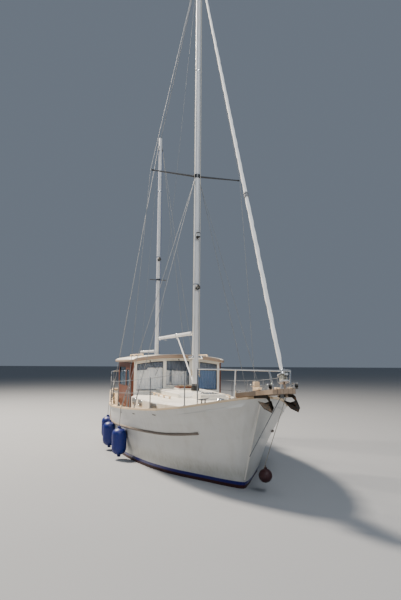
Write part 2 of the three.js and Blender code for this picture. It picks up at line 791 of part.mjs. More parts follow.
function capShroud(side) {
  const base = foot(MAIN.x - 60, side);
  const tip = [MAIN.x - 40, side * (MAIN_SPREADER.half + 8 - GAP), MAIN_SPREADER.z + 45];
  const top = [MAIN.x, side * (MAIN.r * 0.86 + 10), MAIN.head - 260];
  const tangY = [side * 61 - 12, side * 61 + 12];
  const tang = box(MAIN.x - 25, MAIN.x + 25, ...tangY, MAIN.head - 330, MAIN.head - 200);
  const wires = [rod(base.point, tip, WIRE_R, WIRE_R, 6), rod(tip, top, WIRE_R, WIRE_R, 6)];
  return cut(seat(join(...wires, base.plate, base.screw(tip), tang), caprailBody, UP), poleSpace(MAIN));
}

function shroudPair(mastAt, feetX, topZ, side) {
  const feet = feetX.map((x) => foot(x, side));
  const r = mastRadius(mastAt, topZ);
  const top = [mastAt.x, side * (r + 12), topZ];
  const tangY = [side * (r + 4) - 14, side * (r + 4) + 14];
  const tang = box(mastAt.x - 30, mastAt.x + 30, ...tangY, topZ - 50, topZ + 30);
  const parts = feet.flatMap((f) => [rod(f.point, top, WIRE_R, WIRE_R, 6), f.plate, f.screw(top)]);
  return cut(seat(join(tang, ...parts), caprailBody, UP), poleSpace(mastAt));
}

function triatic() {
  const from = [MAIN.x - 120, 0, MAIN.head - 60];
  const to = [MIZZEN.x, 0, MIZZEN.head - 60];
  const crane = box(MAIN.x - 130 - GAP, MAIN.x + 130, -30, 30, MAIN.head - 200, MAIN.head);
  return cut(rod(from, to, WIRE_R, WIRE_R, 6), crane, poleSpace(MIZZEN));
}

// Columns: height along the stay, radius of the rolled sail.
const ROLL = [
  [330, 24],
  [480, 42],
  [1600, 47],
  [4000, 42],
  [7500, 34],
  [10200, 24],
  [10450, 16],
];
function headsail() {
  const profile = [[0, ROLL[0][0]], ...ROLL.map(([z, r]) => [r, z]), [0, ROLL.at(-1)[0]]];
  const roll = new THREE.LatheGeometry(profile.map(([r, z]) => new THREE.Vector2(r, z)), 12);
  const low = DRUM.z + DRUM.height + GAP;
  const foil = new THREE.CylinderGeometry(13, 13, STAY_LENGTH - 300 - low, 10);
  const swivel = new THREE.CylinderGeometry(52, 52, 110, 12).translate(0, 3620, 0);
  return join(roll, foil.translate(0, (STAY_LENGTH - 300 + low) / 2, 0), swivel).rotateX(Math.PI / 2);
}
function furlerDrum() {
  const flange = (z) => rod([0, 0, z], [0, 0, z + 10], DRUM.r, DRUM.r, 20);
  const core = rod([0, 0, DRUM.z], [0, 0, DRUM.z + DRUM.height], 40, 40, 16);
  return join(flange(DRUM.z), flange(DRUM.z + DRUM.height - 10), core);
}
// Lifelines: posts with two wires, along one side. Columns: distance aft of the stem head.
const POSTS = [1060, 2130, 3250, 4350, 5450, 6550, 7650, 8700];
function lifelines(side) {
  const at = (aft, up) => {
    const x = BOW_X - aft;
    return [x, side * (railHalf(x) - 16), railZ(x) + CAPRAIL.thick + up];
  };
  const posts = POSTS.map((aft) => rod(at(aft, -10), at(aft, RAIL_HEIGHT - 20), 12, 10, 8));
  const feet = POSTS.map((aft) => rod(at(aft, -10), at(aft, 10), 26, 26, 10));
  const wires = [RAIL_HEIGHT - 40, RAIL_HEIGHT / 2].flatMap((up) =>
    POSTS.slice(1).map((aft, n) => rod(at(POSTS[n], up), at(aft, up), 4.5, 4.5, 6)),
  );
  return seat(join(...posts, ...feet, ...wires), caprailBody, UP);
}

function sternRail() {
  const r = 14;
  const top = RAIL_HEIGHT;
  const place = (x, y, up) => [x, y, railZ(x) + CAPRAIL.thick + up];
  const frontX = BOW_X - 9250;
  const aftX = -DECK_LENGTH / 2 + 45;
  const half = (x) => railHalf(x) - 16;
  const sideOfStern = (side) => [
    place(frontX, side * half(frontX), top),
    place(-4700, side * half(-4700), top),
    place(aftX + 20, side * (half(aftX) - 60), top),
  ];
  const rail = tube([...sideOfStern(1), place(aftX, 0, top), ...sideOfStern(-1).reverse()], r, 36);
  const legs = [1, -1].flatMap((side) => [
    rod(place(frontX, side * half(frontX), -10), place(frontX, side * half(frontX), top), r),
    rod(place(-4700, side * half(-4700), -10), place(-4700, side * half(-4700), top), r),
    rod(place(aftX + 20, side * (half(aftX) - 60), -10), place(aftX + 20, side * (half(aftX) - 60), top), r),
  ]);
  return seat(join(rail, ...legs), caprailBody, UP);
}

// Fenders, hung outside the starboard rail, and a ball at the port bow.
const FENDERS = [3850, 5100, 6300];
const FENDER = { r: 160, z0: 60, z1: 700 };
const BALL = { aft: 370, y: 225, r: 110, z: 285 };

// A piece hung at (x, y) by a lanyard from the rail, trimmed where it leans on the side.
function hung(body, x, y, z) {
  const side = Math.sign(y);
  const rail = railHalf(x);
  const top = railZ(x) + CAPRAIL.thick;
  const at = (out) => side * (rail + out);
  const lanyard = rod([x, y, z], [x, at(CAPRAIL.out + 20), top + 12], 7, 7, 6);
  const hitchY = [at(CAPRAIL.out + 26), at(-40)].sort((a, b) => a - b);
  const hitch = box(x - 12, x + 12, ...hitchY, top - 20, top + 18);
  const leaning = seat(join(body, lanyard, hitch), hull, [0, side, 0]);
  return seat(cut(leaning, strakeTube(side, STRAKE_R + 1)), caprailBody, UP);
}

function fender(aft) {
  const x = BOW_X - aft;
  const y = -(railHalf(x) + 42);
  const { r, z0, z1 } = FENDER;
  const profile = [
    [0, z0],
    [r * 0.6, z0 + 25],
    [r * 0.92, z0 + 90],
    [r, z0 + 150],
    [r, z1 - 190],
    [r * 0.9, z1 - 110],
    [r * 0.5, z1 - 50],
    [24, z1 - 35],
    [24, z1],
    [0, z1],
  ];
  const body = new THREE.LatheGeometry(profile.map(([a, b]) => new THREE.Vector2(a, b)), 20);
  return hung(body.rotateX(Math.PI / 2).translate(x, y, 0), x, y, z1 - 20);
}

function ballFender() {
  const x = BOW_X - BALL.aft;
  const body = new THREE.SphereGeometry(BALL.r, 18, 12).scale(1, 1.25, 1).rotateX(Math.PI / 2);
  const eye = rod([0, 0, BALL.r - 5], [0, 0, BALL.r * 1.25 + 35], 22, 16, 12);
  return hung(join(body, eye).translate(x, BALL.y, BALL.z), x, BALL.y, BALL.z + BALL.r + 40);
}

// Underwater gear

// The rudder in its own frame: its stock is the z axis.
function rudder() {
  const blade = sidePlate(
    [
      [20, RUDDER_BOTTOM],
      [-620, RUDDER_BOTTOM],
      [-720, -1050],
      [-700, -460],
      [20, -570],
    ],
    70,
    20,
  );
  return join(blade, rod([0, 0, KEEL_BOTTOM + 60 + GAP], [0, 0, 60], STOCK_R, STOCK_R, 16));
}

// The propeller in its own frame: its shaft lies along X, ahead of the hub.
function propeller() {
  const hub = rod([55, 0, 0], [-60, 0, 0], 38, 24, 16);
  const shaft = rod([40, 0, 0], [160, 0, 0], 16.5, 16.5, 14);
  const blades = [0, 1, 2].map((n) => {
    const blade = new THREE.SphereGeometry(1, 14, 8).scale(9, 62, 92);
    blade.rotateZ(0.55).translate(0, 0, PROPELLER_R - 92);
    return blade.rotateX((n * Math.PI * 2) / 3);
  });
  return join(hub, shaft, ...blades);
}

// Finishes
const paint = (color, roughness, metalness = 0) =>
  new THREE.MeshStandardMaterial({ color, roughness, metalness });
const FINISH = {
  white: () => paint(0xe9e7e0, 0.35),
  bottom: () => paint(0x5a2420, 0.8),
  teak: () => paint(0xb08a5c, 0.7),
  varnish: () => paint(0x6b2f14, 0.3),
  steel: () => paint(0xb8bcc0, 0.25, 1),
  galvanised: () => paint(0x3c3f42, 0.6, 0.6),
  spar: () => paint(0xe6e8ea, 0.3),
  sail: () => paint(0xf1f0ea, 0.8),
  glass: () => paint(0x2d4660, 0.1),
  bronze: () => paint(0x9a7440, 0.4, 1),
  strake: () => paint(0x3a332c, 0.6),
  fender: () => paint(0x12348a, 0.4),
  ball: () => paint(0x5c1016, 0.45),
  cushion: () => paint(0x2b3a52, 0.9),
};

const yacht = new THREE.Group();

function add(name, geometry, finish, position = [0, 0, 0], parent = yacht) {
  const mesh = new THREE.Mesh(geometry, FINISH[finish]());
  mesh.name = name;
  mesh.position.set(...position);
  parent.add(mesh);
  return mesh;
}

const SIDES = [
  ["port", 1],
  ["starboard", -1],
];

add("hull", hull, "white");
add("keel", keel(), "bottom");
add("rudder", rudder(), "bottom", [RUDDER_X, 0, 0]);
add("propeller", propeller(), "bronze", [PROPELLER_X, 0, SHAFT_Z]);
add("caprail", caprailBody, "teak");
add("anchor_platform", platformBody, "teak");
add("bobstay", bobstay(), "steel");
add("bow_pulpit", pulpit(), "steel");
add("windlass", windlass(), "galvanised");
add("anchor_starboard", anchor(), "galvanised", [5420, -145, platformZ(5420, 20 - 2 * GAP)]);
add("anchor_port", anchor(), "galvanised", [5670, 145, platformZ(5670, 20 - 2 * GAP)]);

add("coachroof", coachroof(), "white");
add("aft_trunk", aftTrunk(), "white");
const hatches = [
  ["fore_hatch_lid", FORE_HATCH, "white"],
  ["skylight_lid", SKYLIGHT, "varnish"],
  ["aft_hatch_lid", AFT_HATCH, "white"],
];
for (const [name, hatch, finish] of hatches) {
  add(name, hatchLid(hatch), finish, [hatch.x + hatch.size / 2 + 10, 0, hatch.z]);
}

add("house_front", houseFront(), "white");
add("house_roof", houseRoof(), "white");
["starboard", "centre", "port"].forEach((name, n) =>
  add("front_window_" + name, frontGlass(FRONT_PANES[n]), "glass"),
);

add("helm_console", console_(), "varnish");
add("steering_wheel", steeringWheel(), "varnish", [HELM.x, HELM.y, HELM.z]);
add("helm_seat", helmSeat(), "cushion");
add("settee", settee(), "cushion");

add("main_mast", mast(MAIN, CRANE.height), "spar", [MAIN.x, 0, MAIN.foot]);
add("main_gooseneck", gooseneck(MAIN, [VANG.z, MAIN_BOOM.z]), "steel", [MAIN.x, 0, MAIN.foot]);
add("mizzen_mast", mast(MIZZEN, 0), "spar", [MIZZEN.x, 0, MIZZEN.foot]);
add("mizzen_gooseneck", gooseneck(MIZZEN, [MIZZEN_BOOM.z]), "steel", [MIZZEN.x, 0, MIZZEN.foot]);
add("main_spreaders", spreaders(), "spar", [MAIN.x, 0, MAIN_SPREADER.z]);
add("mizzen_crosstree", crosstree(), "spar", [MIZZEN.x, 0, MIZZEN_CROSSTREE.z]);
const mainPivot = MAIN.x - GOOSENECK;
const mizzenPivot = MIZZEN.x - GOOSENECK;
const mainBoom = boom(mainPivot - MAIN_BOOM.end, MAIN_BOOM.rise, MAIN_BOOM.r);
add("main_boom", mainBoom, "spar", [mainPivot, 0, MAIN_BOOM.z]);
add("main_vang", vang(), "spar", [mainPivot, 0, VANG.z]);
const mizzenBoom = boom(mizzenPivot - MIZZEN_BOOM.end, MIZZEN_BOOM.rise, MIZZEN_BOOM.r);
add("mizzen_boom", mizzenBoom, "spar", [mizzenPivot, 0, MIZZEN_BOOM.z]);
add("triatic_stay", triatic(), "steel");

const furler = new THREE.Group();
furler.position.set(...TACK);
furler.quaternion.setFromUnitVectors(new THREE.Vector3(0, 0, 1), stayLine.clone().normalize());
yacht.add(furler);
add("headsail", headsail(), "sail", [0, 0, 0], furler);
add("furler_drum", furlerDrum(), "galvanised", [0, 0, 0], furler);
add("masthead", masthead(), "steel");

add("stern_rail", sternRail(), "steel");
for (const [name, side] of SIDES) {
  add("rub_strake_" + name, rubStrake(side), "strake");
  add("house_side_" + name, houseSide(side), "varnish");
  add("side_window_" + name, sideGlass(side), "glass");
  add("side_door_" + name, door(side), "varnish");
  add("cap_shroud_" + name, capShroud(side), "steel");
  add("lower_shrouds_" + name, shroudPair(MAIN, [2120, 1080], 6300, side), "steel");
  add("mizzen_shrouds_" + name, shroudPair(MIZZEN, [-2330, -3000], 8880, side), "steel");
  add("lifelines_" + name, lifelines(side), "steel");
}
FENDERS.forEach((aft, n) => add("fender_" + (n + 1), fender(aft), "fender"));
add("ball_fender", ballFender(), "ball");

export default yacht;
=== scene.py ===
"""A ketch-rigged motor sailing yacht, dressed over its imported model. Metres, +X forward, +Y port, +Z up."""

import logging
from dataclasses import dataclass
from enum import Enum
from math import atan2, copysign, cos, pi, radians, sin, tan

import bpy
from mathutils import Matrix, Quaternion, Vector
from mathutils.bvhtree import BVHTree


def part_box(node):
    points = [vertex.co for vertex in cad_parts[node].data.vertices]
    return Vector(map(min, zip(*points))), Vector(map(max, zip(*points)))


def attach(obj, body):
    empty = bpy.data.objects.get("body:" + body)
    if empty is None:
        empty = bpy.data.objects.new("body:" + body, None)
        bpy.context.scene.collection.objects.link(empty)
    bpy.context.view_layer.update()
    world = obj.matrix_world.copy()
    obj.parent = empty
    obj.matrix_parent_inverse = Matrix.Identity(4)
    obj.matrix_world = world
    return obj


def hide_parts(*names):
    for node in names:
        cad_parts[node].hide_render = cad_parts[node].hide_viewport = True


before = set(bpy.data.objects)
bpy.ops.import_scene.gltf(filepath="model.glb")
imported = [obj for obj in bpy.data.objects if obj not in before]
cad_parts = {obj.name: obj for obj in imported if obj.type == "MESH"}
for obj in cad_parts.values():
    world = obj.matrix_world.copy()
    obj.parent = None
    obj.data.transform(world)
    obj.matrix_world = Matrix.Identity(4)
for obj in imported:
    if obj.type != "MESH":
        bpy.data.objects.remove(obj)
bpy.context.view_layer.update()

log = logging.getLogger("yacht")

Point = tuple[float, float, float]
Colour = tuple[float, float, float, float]
Pair = tuple[float, float]
Line = list[Vector]
SIDES = (("port", 1), ("starboard", -1))
AHEAD = Vector((1, 0, 0))
PORT = Vector((0, 1, 0))
UP = Vector((0, 0, 1))
LEAST_RADIUS = 1e-4


def tint(code: str) -> Colour:
    """Turn a plain hex code into a linear colour.

    Args:
        code: Six hex digits, red first.

    Returns:
        The colour with full alpha.
    """
    shares = [int(code[n:n + 2], 16) / 255 for n in (0, 2, 4)]
    linear = [s / 12.92 if s <= 0.04045 else ((s + 0.055) / 1.055) ** 2.4 for s in shares]
    return (*linear, 1.0)


# Shader maths


class Wire:
    """A shader socket on which sums are written as Python expressions."""

    def __init__(self, bench: "Bench", socket: bpy.types.NodeSocket) -> None:
        """Keep the socket and the bench that it belongs to."""
        self.bench = bench
        self.socket = socket

    def sum(self, operation: str, first: "Wire | float", second: "Wire | float",
            clamp: bool = False) -> "Wire":
        """Add one Math node.

        Args:
            operation: The node's operation.
            first: The first value.
            second: The second value.
            clamp: Whether the result stays between 0 and 1.

        Returns:
            The result's wire.
        """
        settings = {"operation": operation, "use_clamp": clamp}
        return self.bench.out("ShaderNodeMath", settings, {0: first, 1: second})

    def __add__(self, other: "Wire | float") -> "Wire":
        """Add two values."""
        return self.sum("ADD", self, other)

    def __radd__(self, other: float) -> "Wire":
        """Add two values, the number first."""
        return self.sum("ADD", other, self)

    def __sub__(self, other: "Wire | float") -> "Wire":
        """Take one value from another."""
        return self.sum("SUBTRACT", self, other)

    def __rsub__(self, other: float) -> "Wire":
        """Take this value from a number."""
        return self.sum("SUBTRACT", other, self)

    def __mul__(self, other: "Wire | float") -> "Wire":
        """Multiply two values."""
        return self.sum("MULTIPLY", self, other)

    def __rmul__(self, other: float) -> "Wire":
        """Multiply two values, the number first."""
        return self.sum("MULTIPLY", other, self)

    def over(self, level: float, width: float = 0.002) -> "Wire":
        """Give 1 where this value is over a level and 0 below it, with a soft step of some width."""
        return self.sum("MULTIPLY", self - (level - width / 2), 1 / width, clamp=True)

    def inside(self, low: float, high: float, width: float = 0.002) -> "Wire":
        """Give 1 between two levels."""
        return self.over(low, width) * (1 - self.over(high, width))

    def seam(self, pitch: float, gap: float) -> "Wire":
        """Give 1 in a narrow gap that comes back at every pitch."""
        return 1 - self.sum("PINGPONG", self, pitch / 2).over(gap / 2, gap * 0.6)

    def swing(self, pitch: float) -> "Wire":
        """Give a sine from -1 to 1 that comes back at every pitch."""
        return self.sum("SINE", self * (2 * pi / pitch), 0.0)


class Bench:
    """One material's nodes, and the shader that they end in."""

    def __init__(self, material: bpy.types.Material) -> None:
        """Start from the material's own Principled shader."""
        material.use_nodes = True
        self.tree = material.node_tree
        self.shader = self.tree.nodes["Principled BSDF"]

    def node(self, kind: str, settings: dict | None = None, inputs: dict | None = None) -> bpy.types.Node:
        """Add one node.

        Args:
            kind: The node's type.
            settings: Its own properties, and under "stops" a ramp's places and colours.
            inputs: Values or wires by socket name or number.

        Returns:
            The node.
        """
        made = self.tree.nodes.new(kind)
        for name, value in (settings or {}).items():
            if name == "stops":
                for n, (place, colour) in enumerate(value):
                    stop = made.color_ramp.elements[n] if n < 2 else made.color_ramp.elements.new(place)
                    stop.position = place
                    stop.color = colour
            else:
                setattr(made, name, value)
        for name, value in (inputs or {}).items():
            self.feed(made.inputs[name], value)
        return made

    def out(self, kind: str, settings: dict | None = None, inputs: dict | None = None,
            output: int | str = 0) -> Wire:
        """Add one node and give the wire of one of its outputs."""
        return Wire(self, self.node(kind, settings, inputs).outputs[output])

    def feed(self, socket: bpy.types.NodeSocket, value: "Wire | float | str | tuple") -> None:
        """Link a wire to a socket, or set the socket's own value.

        Args:
            socket: The socket.
            value: A wire, or what the socket is set to, a colour by its hex code.
        """
        if isinstance(value, Wire):
            self.tree.links.new(value.socket, socket)
        else:
            socket.default_value = tint(value) if isinstance(value, str) else value

    def place(self) -> Wire:
        """Give the point's place in the piece's own frame."""
        return self.out("ShaderNodeTexCoord", output="Object")

    def facing(self) -> tuple[Wire, Wire, Wire]:
        """Give the surface's direction in the piece's own frame, split in X, Y and Z."""
        return self.split(self.out("ShaderNodeTexCoord", output="Normal"))

    def split(self, vector: Wire) -> tuple[Wire, Wire, Wire]:
        """Split a vector in X, Y and Z."""
        parts = self.node("ShaderNodeSeparateXYZ", None, {0: vector})
        return tuple(Wire(self, parts.outputs[n]) for n in range(3))

    def noise(self, scale: float, detail: float = 3.0, stretch: Point = (1, 1, 1),
              rough: float = 0.55) -> Wire:
        """Give a noise of some scale, stretched along an axis by small factors.

        Args:
            scale: Its scale.
            detail: Its octaves.
            stretch: Factors along X, Y and Z.
            rough: How strong its octaves stay.

        Returns:
            Its wire, from 0 to 1.
        """
        grown = self.out("ShaderNodeVectorMath", {"operation": "MULTIPLY"}, {0: self.place(), 1: stretch})
        inputs = {"Vector": grown, "Scale": scale, "Detail": detail, "Roughness": rough}
        return self.out("ShaderNodeTexNoise", None, inputs)

    def mix(self, share: Wire | float, first: Wire | str, second: Wire | str) -> Wire:
        """Mix two colours by a share."""
        return self.out("ShaderNodeMix", {"data_type": "RGBA"}, {0: share, 6: first, 7: second}, 2)

    def lay(self, base: Wire, rough: Wire | float, metal: float = 0.0, height: Wire | None = None,
            depth: float = 0.001, **fixed: float) -> None:
        """Feed the shader.

        Args:
            base: Its colour.
            rough: Its roughness.
            metal: Its metalness.
            height: A height for its bump, from 0 to 1.
            depth: How deep that height is, in metres.
            fixed: Values set on the shader's own sockets, by name with low lines.
        """
        self.feed(self.shader.inputs["Base Color"], base)
        self.feed(self.shader.inputs["Roughness"], rough)
        self.feed(self.shader.inputs["Metallic"], metal)
        if height is not None:
            inputs = {"Height": height, "Distance": depth, "Strength": 1.0}
            self.feed(self.shader.inputs["Normal"], self.out("ShaderNodeBump", None, inputs))
        for name, value in fixed.items():
            self.shader.inputs[name.replace("_", " ")].default_value = value


# Finishes


class Grain(Enum):
    """The way that a timber's grain runs, as small factors along X, Y and Z."""

    ALONG = (0.06, 1.0, 1.0)
    ACROSS = (1.0, 0.06, 1.0)
    UP = (1.0, 1.0, 0.06)


@dataclass(frozen=True)
class Finish:
    """How one material looks, and the record's slot that it stands for."""

    name: str
    slot: str

    def dress(self, bench: Bench) -> None:
        """Lay the finish's nodes.

        Args:
            bench: The material's bench.
        """
        raise NotImplementedError

    def material(self) -> bpy.types.Material:
        """Make the finish's material, or find it where it is made.

        Returns:
            The material.
        """
        found = bpy.data.materials.get(self.name)
        if found is None:
            found = bpy.data.materials.new(self.name)
            self.dress(Bench(found))
        return found


@dataclass(frozen=True)
class Gelcoat(Finish):
    """Glossy white resin with weathering, and non-skid on what faces up."""

    colour: str = "e9e6dd"
    tread: bool = True
    rough: float = 0.28

    def dress(self, bench: Bench) -> None:
        """Lay tone, streaks, dirt and tread."""
        cloud = bench.noise(1.6, 4.0)
        streak = bench.noise(9.0, 3.0, (1.0, 1.0, 0.12))
        dirt = (streak * cloud).over(0.34, 0.24)
        base = bench.mix(dirt * 0.4, self.colour, "b9b09c")
        wobble = bench.noise(7.0, 2.0)
        height = wobble * 0.3
        rough = self.rough + 0.18 * cloud
        if self.tread:
            _, _, up = bench.facing()
            top = up.over(0.93, 0.03)
            inputs = {"Vector": bench.place(), "Scale": 170.0}
            knurl = bench.out("ShaderNodeTexVoronoi", {"feature": "F1"}, inputs)
            base = bench.mix(top * 0.55, base, "d8d2c2")
            height = height + top * knurl * 0.9
            rough = rough + 0.3 * top
        bench.lay(base, rough, height=height, depth=0.0012, Coat_Weight=0.25, Coat_Roughness=0.15)


@dataclass(frozen=True)
class Topsides(Finish):
    """The hull: white sides with a blue boot top over dark red, a planked deck and a wood-lined well."""

    boot_low: float = 0.06
    boot_high: float = 0.118
    deck_low: float = 0.7
    well: tuple[Point, Point] = ((-2.3, -1.1, -0.2), (0.08, 1.1, 1.02))

    def dress(self, bench: Bench) -> None:
        """Lay the sides, the bands, the deck and the well."""
        x, y, z = bench.split(bench.place())
        _, _, up = bench.facing()
        cloud = bench.noise(0.9, 4.0)
        streak = bench.noise(6.0, 4.0, (1.0, 1.0, 0.1), 0.6)
        fine = bench.noise(26.0, 3.0, (1.0, 1.0, 0.25))
        # The sides' white is greyer than the cabins' gelcoat: partly the paint's own tone, partly painted
        # shade on the flared hull.
        white = bench.mix(cloud * 0.5, "d8d8d4", "c6c6c1")
        run = streak.over(0.58, 0.24) * 0.16 + fine.over(0.64, 0.2) * 0.05
        white = bench.mix(run, white, "a39a86")
        scum = z.inside(0.12, 0.34, 0.16) * fine
        white = bench.mix(scum * 0.55, white, "8f8b6f")
        growth = bench.noise(16.0, 5.0)
        red = bench.mix(growth, "4a1412", "2c1714")
        blue = bench.mix(growth * 0.4, "0f1173", "0b0d48")
        edge = (fine - 0.5) * 0.006
        sides = bench.mix((z + edge).over(self.boot_high, 0.004), blue, white)
        sides = bench.mix((z + edge).over(self.boot_low, 0.004), red, sides)
        caulk = y.seam(0.055, 0.006)
        plank = bench.noise(3.0, 4.0, (0.25, 14.0, 1.0))
        teak = bench.mix(plank, "a58a66", "c4ad8a")
        deck_paint = bench.mix(caulk, teak, "211e1b")
        on_deck = up.over(0.8, 0.1) * z.over(self.deck_low, 0.05)
        base = bench.mix(on_deck, sides, deck_paint)
        low, high = self.well
        in_well = x.inside(low[0], high[0]) * y.inside(low[1], high[1]) * z.inside(low[2], high[2])
        grain = bench.noise(5.0, 5.0, (1.0, 1.0, 0.08))
        lining = bench.mix(grain, "4c2211", "8a4a24")
        lining = bench.mix(y.seam(0.07, 0.003) * 0.7, lining, "1a0d07")
        base = bench.mix(in_well, base, lining)
        under = 1 - z.over(self.boot_low, 0.01)
        rough = 0.26 + 0.16 * cloud + 0.4 * under + 0.35 * on_deck
        height = bench.noise(3.0, 2.0) * 0.25 + growth * under * 0.6 + on_deck * (1 - caulk) * 0.5
        bench.lay(base, rough, height=height, depth=0.002, Coat_Weight=0.2, Coat_Roughness=0.2)


@dataclass(frozen=True)
class Timber(Finish):
    """Solid wood, oiled, varnished or weathered, with seams where it is planked."""

    dark: str
    light: str
    grain: Grain = Grain.ALONG
    rough: float = 0.5
    coat: float = 0.0
    plank: float = 0.0
    wear: str = "8c8375"

    def dress(self, bench: Bench) -> None:
        """Lay grain, pores, seams and wear."""
        rings = bench.noise(34.0, 4.0, self.grain.value, 0.6)
        pores = bench.noise(190.0, 2.0, self.grain.value)
        tone = bench.noise(1.4, 3.0)
        base = bench.mix(rings, self.dark, self.light)
        base = bench.mix(pores.over(0.6, 0.2) * 0.35, base, self.dark)
        base = bench.mix(tone.over(0.56, 0.3) * (0.45 if self.coat == 0 else 0.12), base, self.wear)
        height = rings * 0.5 + pores * 0.3
        if self.plank:
            x, y, _ = bench.split(bench.place())
            seam = (y if self.grain is Grain.ALONG else x).seam(self.plank, 0.005)
            base = bench.mix(seam * 0.8, base, "1d1712")
            height = height - seam * 1.5
        bench.lay(base, self.rough + 0.2 * tone * (1 - self.coat), height=height, depth=0.0008,
                  Coat_Weight=self.coat, Coat_Roughness=0.08)


@dataclass(frozen=True)
class Metal(Finish):
    """Bare metal: polished, cast or galvanised."""

    colour: str
    stain: str
    rough: float
    grit: float = 0.1
    metal: float = 1.0

    def dress(self, bench: Bench) -> None:
        """Lay brushing, bloom and pitting."""
        bloom = bench.noise(11.0, 4.0)
        brush = bench.noise(120.0, 2.0, (1.0, 1.0, 0.15))
        spots = bench.noise(45.0, 3.0).over(0.6, 0.14)
        base = bench.mix(bloom, self.colour, self.stain)
        base = bench.mix(spots * min(1.0, self.grit * 2.2), base, "6d4a30")
        rough = self.rough + 0.25 * bloom * self.rough + 0.1 * brush + self.grit * spots * 0.5
        bench.lay(base, rough, self.metal, height=brush * 0.3 + bloom * self.grit * 4, depth=0.0005)


@dataclass(frozen=True)
class SparPaint(Finish):
    """Spars: paint on alloy, chalked, with runs under the fittings."""

    colour: str
    chalk: str = "bfc2c3"
    runs: str = "a7a296"

    def dress(self, bench: Bench) -> None:
        """Lay the paint's tone, chalk and runs."""
        cloud = bench.noise(1.3, 4.0, (1.0, 1.0, 0.3))
        runs = bench.noise(30.0, 3.0, (1.0, 1.0, 0.05))
        base = bench.mix(cloud * 0.5, self.colour, self.chalk)
        base = bench.mix(runs.over(0.6, 0.15) * 0.4, base, self.runs)
        bench.lay(base, 0.3 + 0.2 * cloud, height=cloud * 0.2, depth=0.0008, Coat_Weight=0.2,
                  Coat_Roughness=0.2)


@dataclass(frozen=True)
class Cloth(Finish):
    """Woven fabric: a weave of crossed threads, fading and a soft sheen."""

    colour: str
    faded: str
    thread: float
    rough: float
    sheen: float

    def dress(self, bench: Bench) -> None:
        """Lay the weave and its fading."""
        x, y, z = bench.split(bench.place())
        weave = (x + z).swing(2 * self.thread) * (y - z).swing(2 * self.thread) * 0.5 + 0.5
        fade = bench.noise(2.4, 4.0)
        base = bench.mix(fade, self.colour, self.faded)
        base = bench.mix(weave * 0.18, base, "f2efe6")
        bench.lay(base, self.rough - 0.1 * weave, height=weave * 0.6 + fade * 0.4, depth=0.0006,
                  Sheen_Weight=self.sheen)


@dataclass(frozen=True)
class Vinyl(Finish):
    """Moulded plastic, rubber or bottom paint, with scuffs and a bloom of chalk."""

    colour: str
    scuffed: str
    rough: float

    def dress(self, bench: Bench) -> None:
        """Lay the tone and the scuffs."""
        cloud = bench.noise(5.0, 4.0)
        scuff = bench.noise(60.0, 3.0, (1.0, 1.0, 0.2)).over(0.6, 0.1)
        base = bench.mix(cloud.over(0.5, 0.5) * 0.45, self.colour, self.scuffed)
        base = bench.mix(scuff * 0.08, base, "7b8591")
        rough = self.rough + 0.25 * cloud + 0.2 * scuff
        bench.lay(base, rough, height=cloud * 0.4 + scuff * 0.3, depth=0.0006)


@dataclass(frozen=True)
class Glazing(Finish):
    """Window glass: tinted, with salt and smears, or a lamp's lens."""

    colour: str = "35506b"
    clear: float = 0.45

    def dress(self, bench: Bench) -> None:
        """Lay the tint and the smears."""
        smear = bench.noise(14.0, 4.0, (1.0, 1.0, 0.3))
        base = bench.mix(smear * 0.35, self.colour, "9db0bd")
        salt = smear.over(0.6, 0.2) * 0.1
        bench.feed(bench.shader.inputs["Alpha"], (1 - self.clear) + salt)
        bench.lay(base, 0.05 + 0.16 * smear, height=smear, depth=0.0002, IOR=1.5)


WHITE = Gelcoat("white_gelcoat", "white_hull")
SMOOTH_WHITE = Gelcoat("smooth_gelcoat", "white_hull", tread=False)
HULL_PAINT = Topsides("hull_paint", "white_hull")
BOTTOM = Vinyl("bottom_paint", "antifouling", "471512", "2c1714", 0.75)
TEAK = Timber("teak", "teak", "755d46", "a68f74", rough=0.68, wear="a99a86")
PLANKED_TEAK = Timber("planked_teak", "teak", "7a6552", "a99580", rough=0.68, plank=0.07, wear="aca092")
BRIGHTWORK = Timber("brightwork", "varnished_wood", "4a2010", "753917", Grain.UP, 0.5, 0.12, 0.09)
BRIGHT_TRIM = Timber("bright_trim", "varnished_wood", "4a200f", "7c3e1b", Grain.ALONG, 0.42, 0.25)
STRAKE_WOOD = Timber("strake_wood", "strake_wood", "211d1a", "3d3731", rough=0.75, wear="544c44")
STAINLESS = Metal("stainless", "stainless", "a4a8ac", "7c8082", 0.4)
RIGGING = Metal("rigging_wire", "stainless", "989da1", "7a7e81", 0.55, 0.1, 0.6)
GALVANISED = Metal("galvanised", "galvanised", "4b4e50", "2b2c2d", 0.5, 0.35, 0.7)
DARK_IRON = Metal("dark_iron", "galvanised", "35342f", "22211f", 0.6, 0.4, 0.5)
BRONZE = Metal("bronze", "bronze", "8a6a34", "5a4a30", 0.32, 0.2)
SPAR = SparPaint("spar_paint", "spar", "d2d6da")
DARK_SPAR = SparPaint("dark_spar_paint", "spar", "24272c", "35383c", "4b4a48")
SAILCLOTH = Cloth("sailcloth", "sailcloth", "e4e5e6", "cfd2d4", 0.0022, 0.7, 0.1)
CURTAIN = Cloth("curtain", "cushion", "eceded", "f6f6f4", 0.0018, 0.9, 0.2)
# A mid-blue curtain cloth that paints the sky's reflection in the port front window.
SKY_REFLECTION_CURTAIN = Cloth("sky_reflection_curtain", "cushion", "2f5584", "456c9a", 0.0018, 0.9, 0.2)
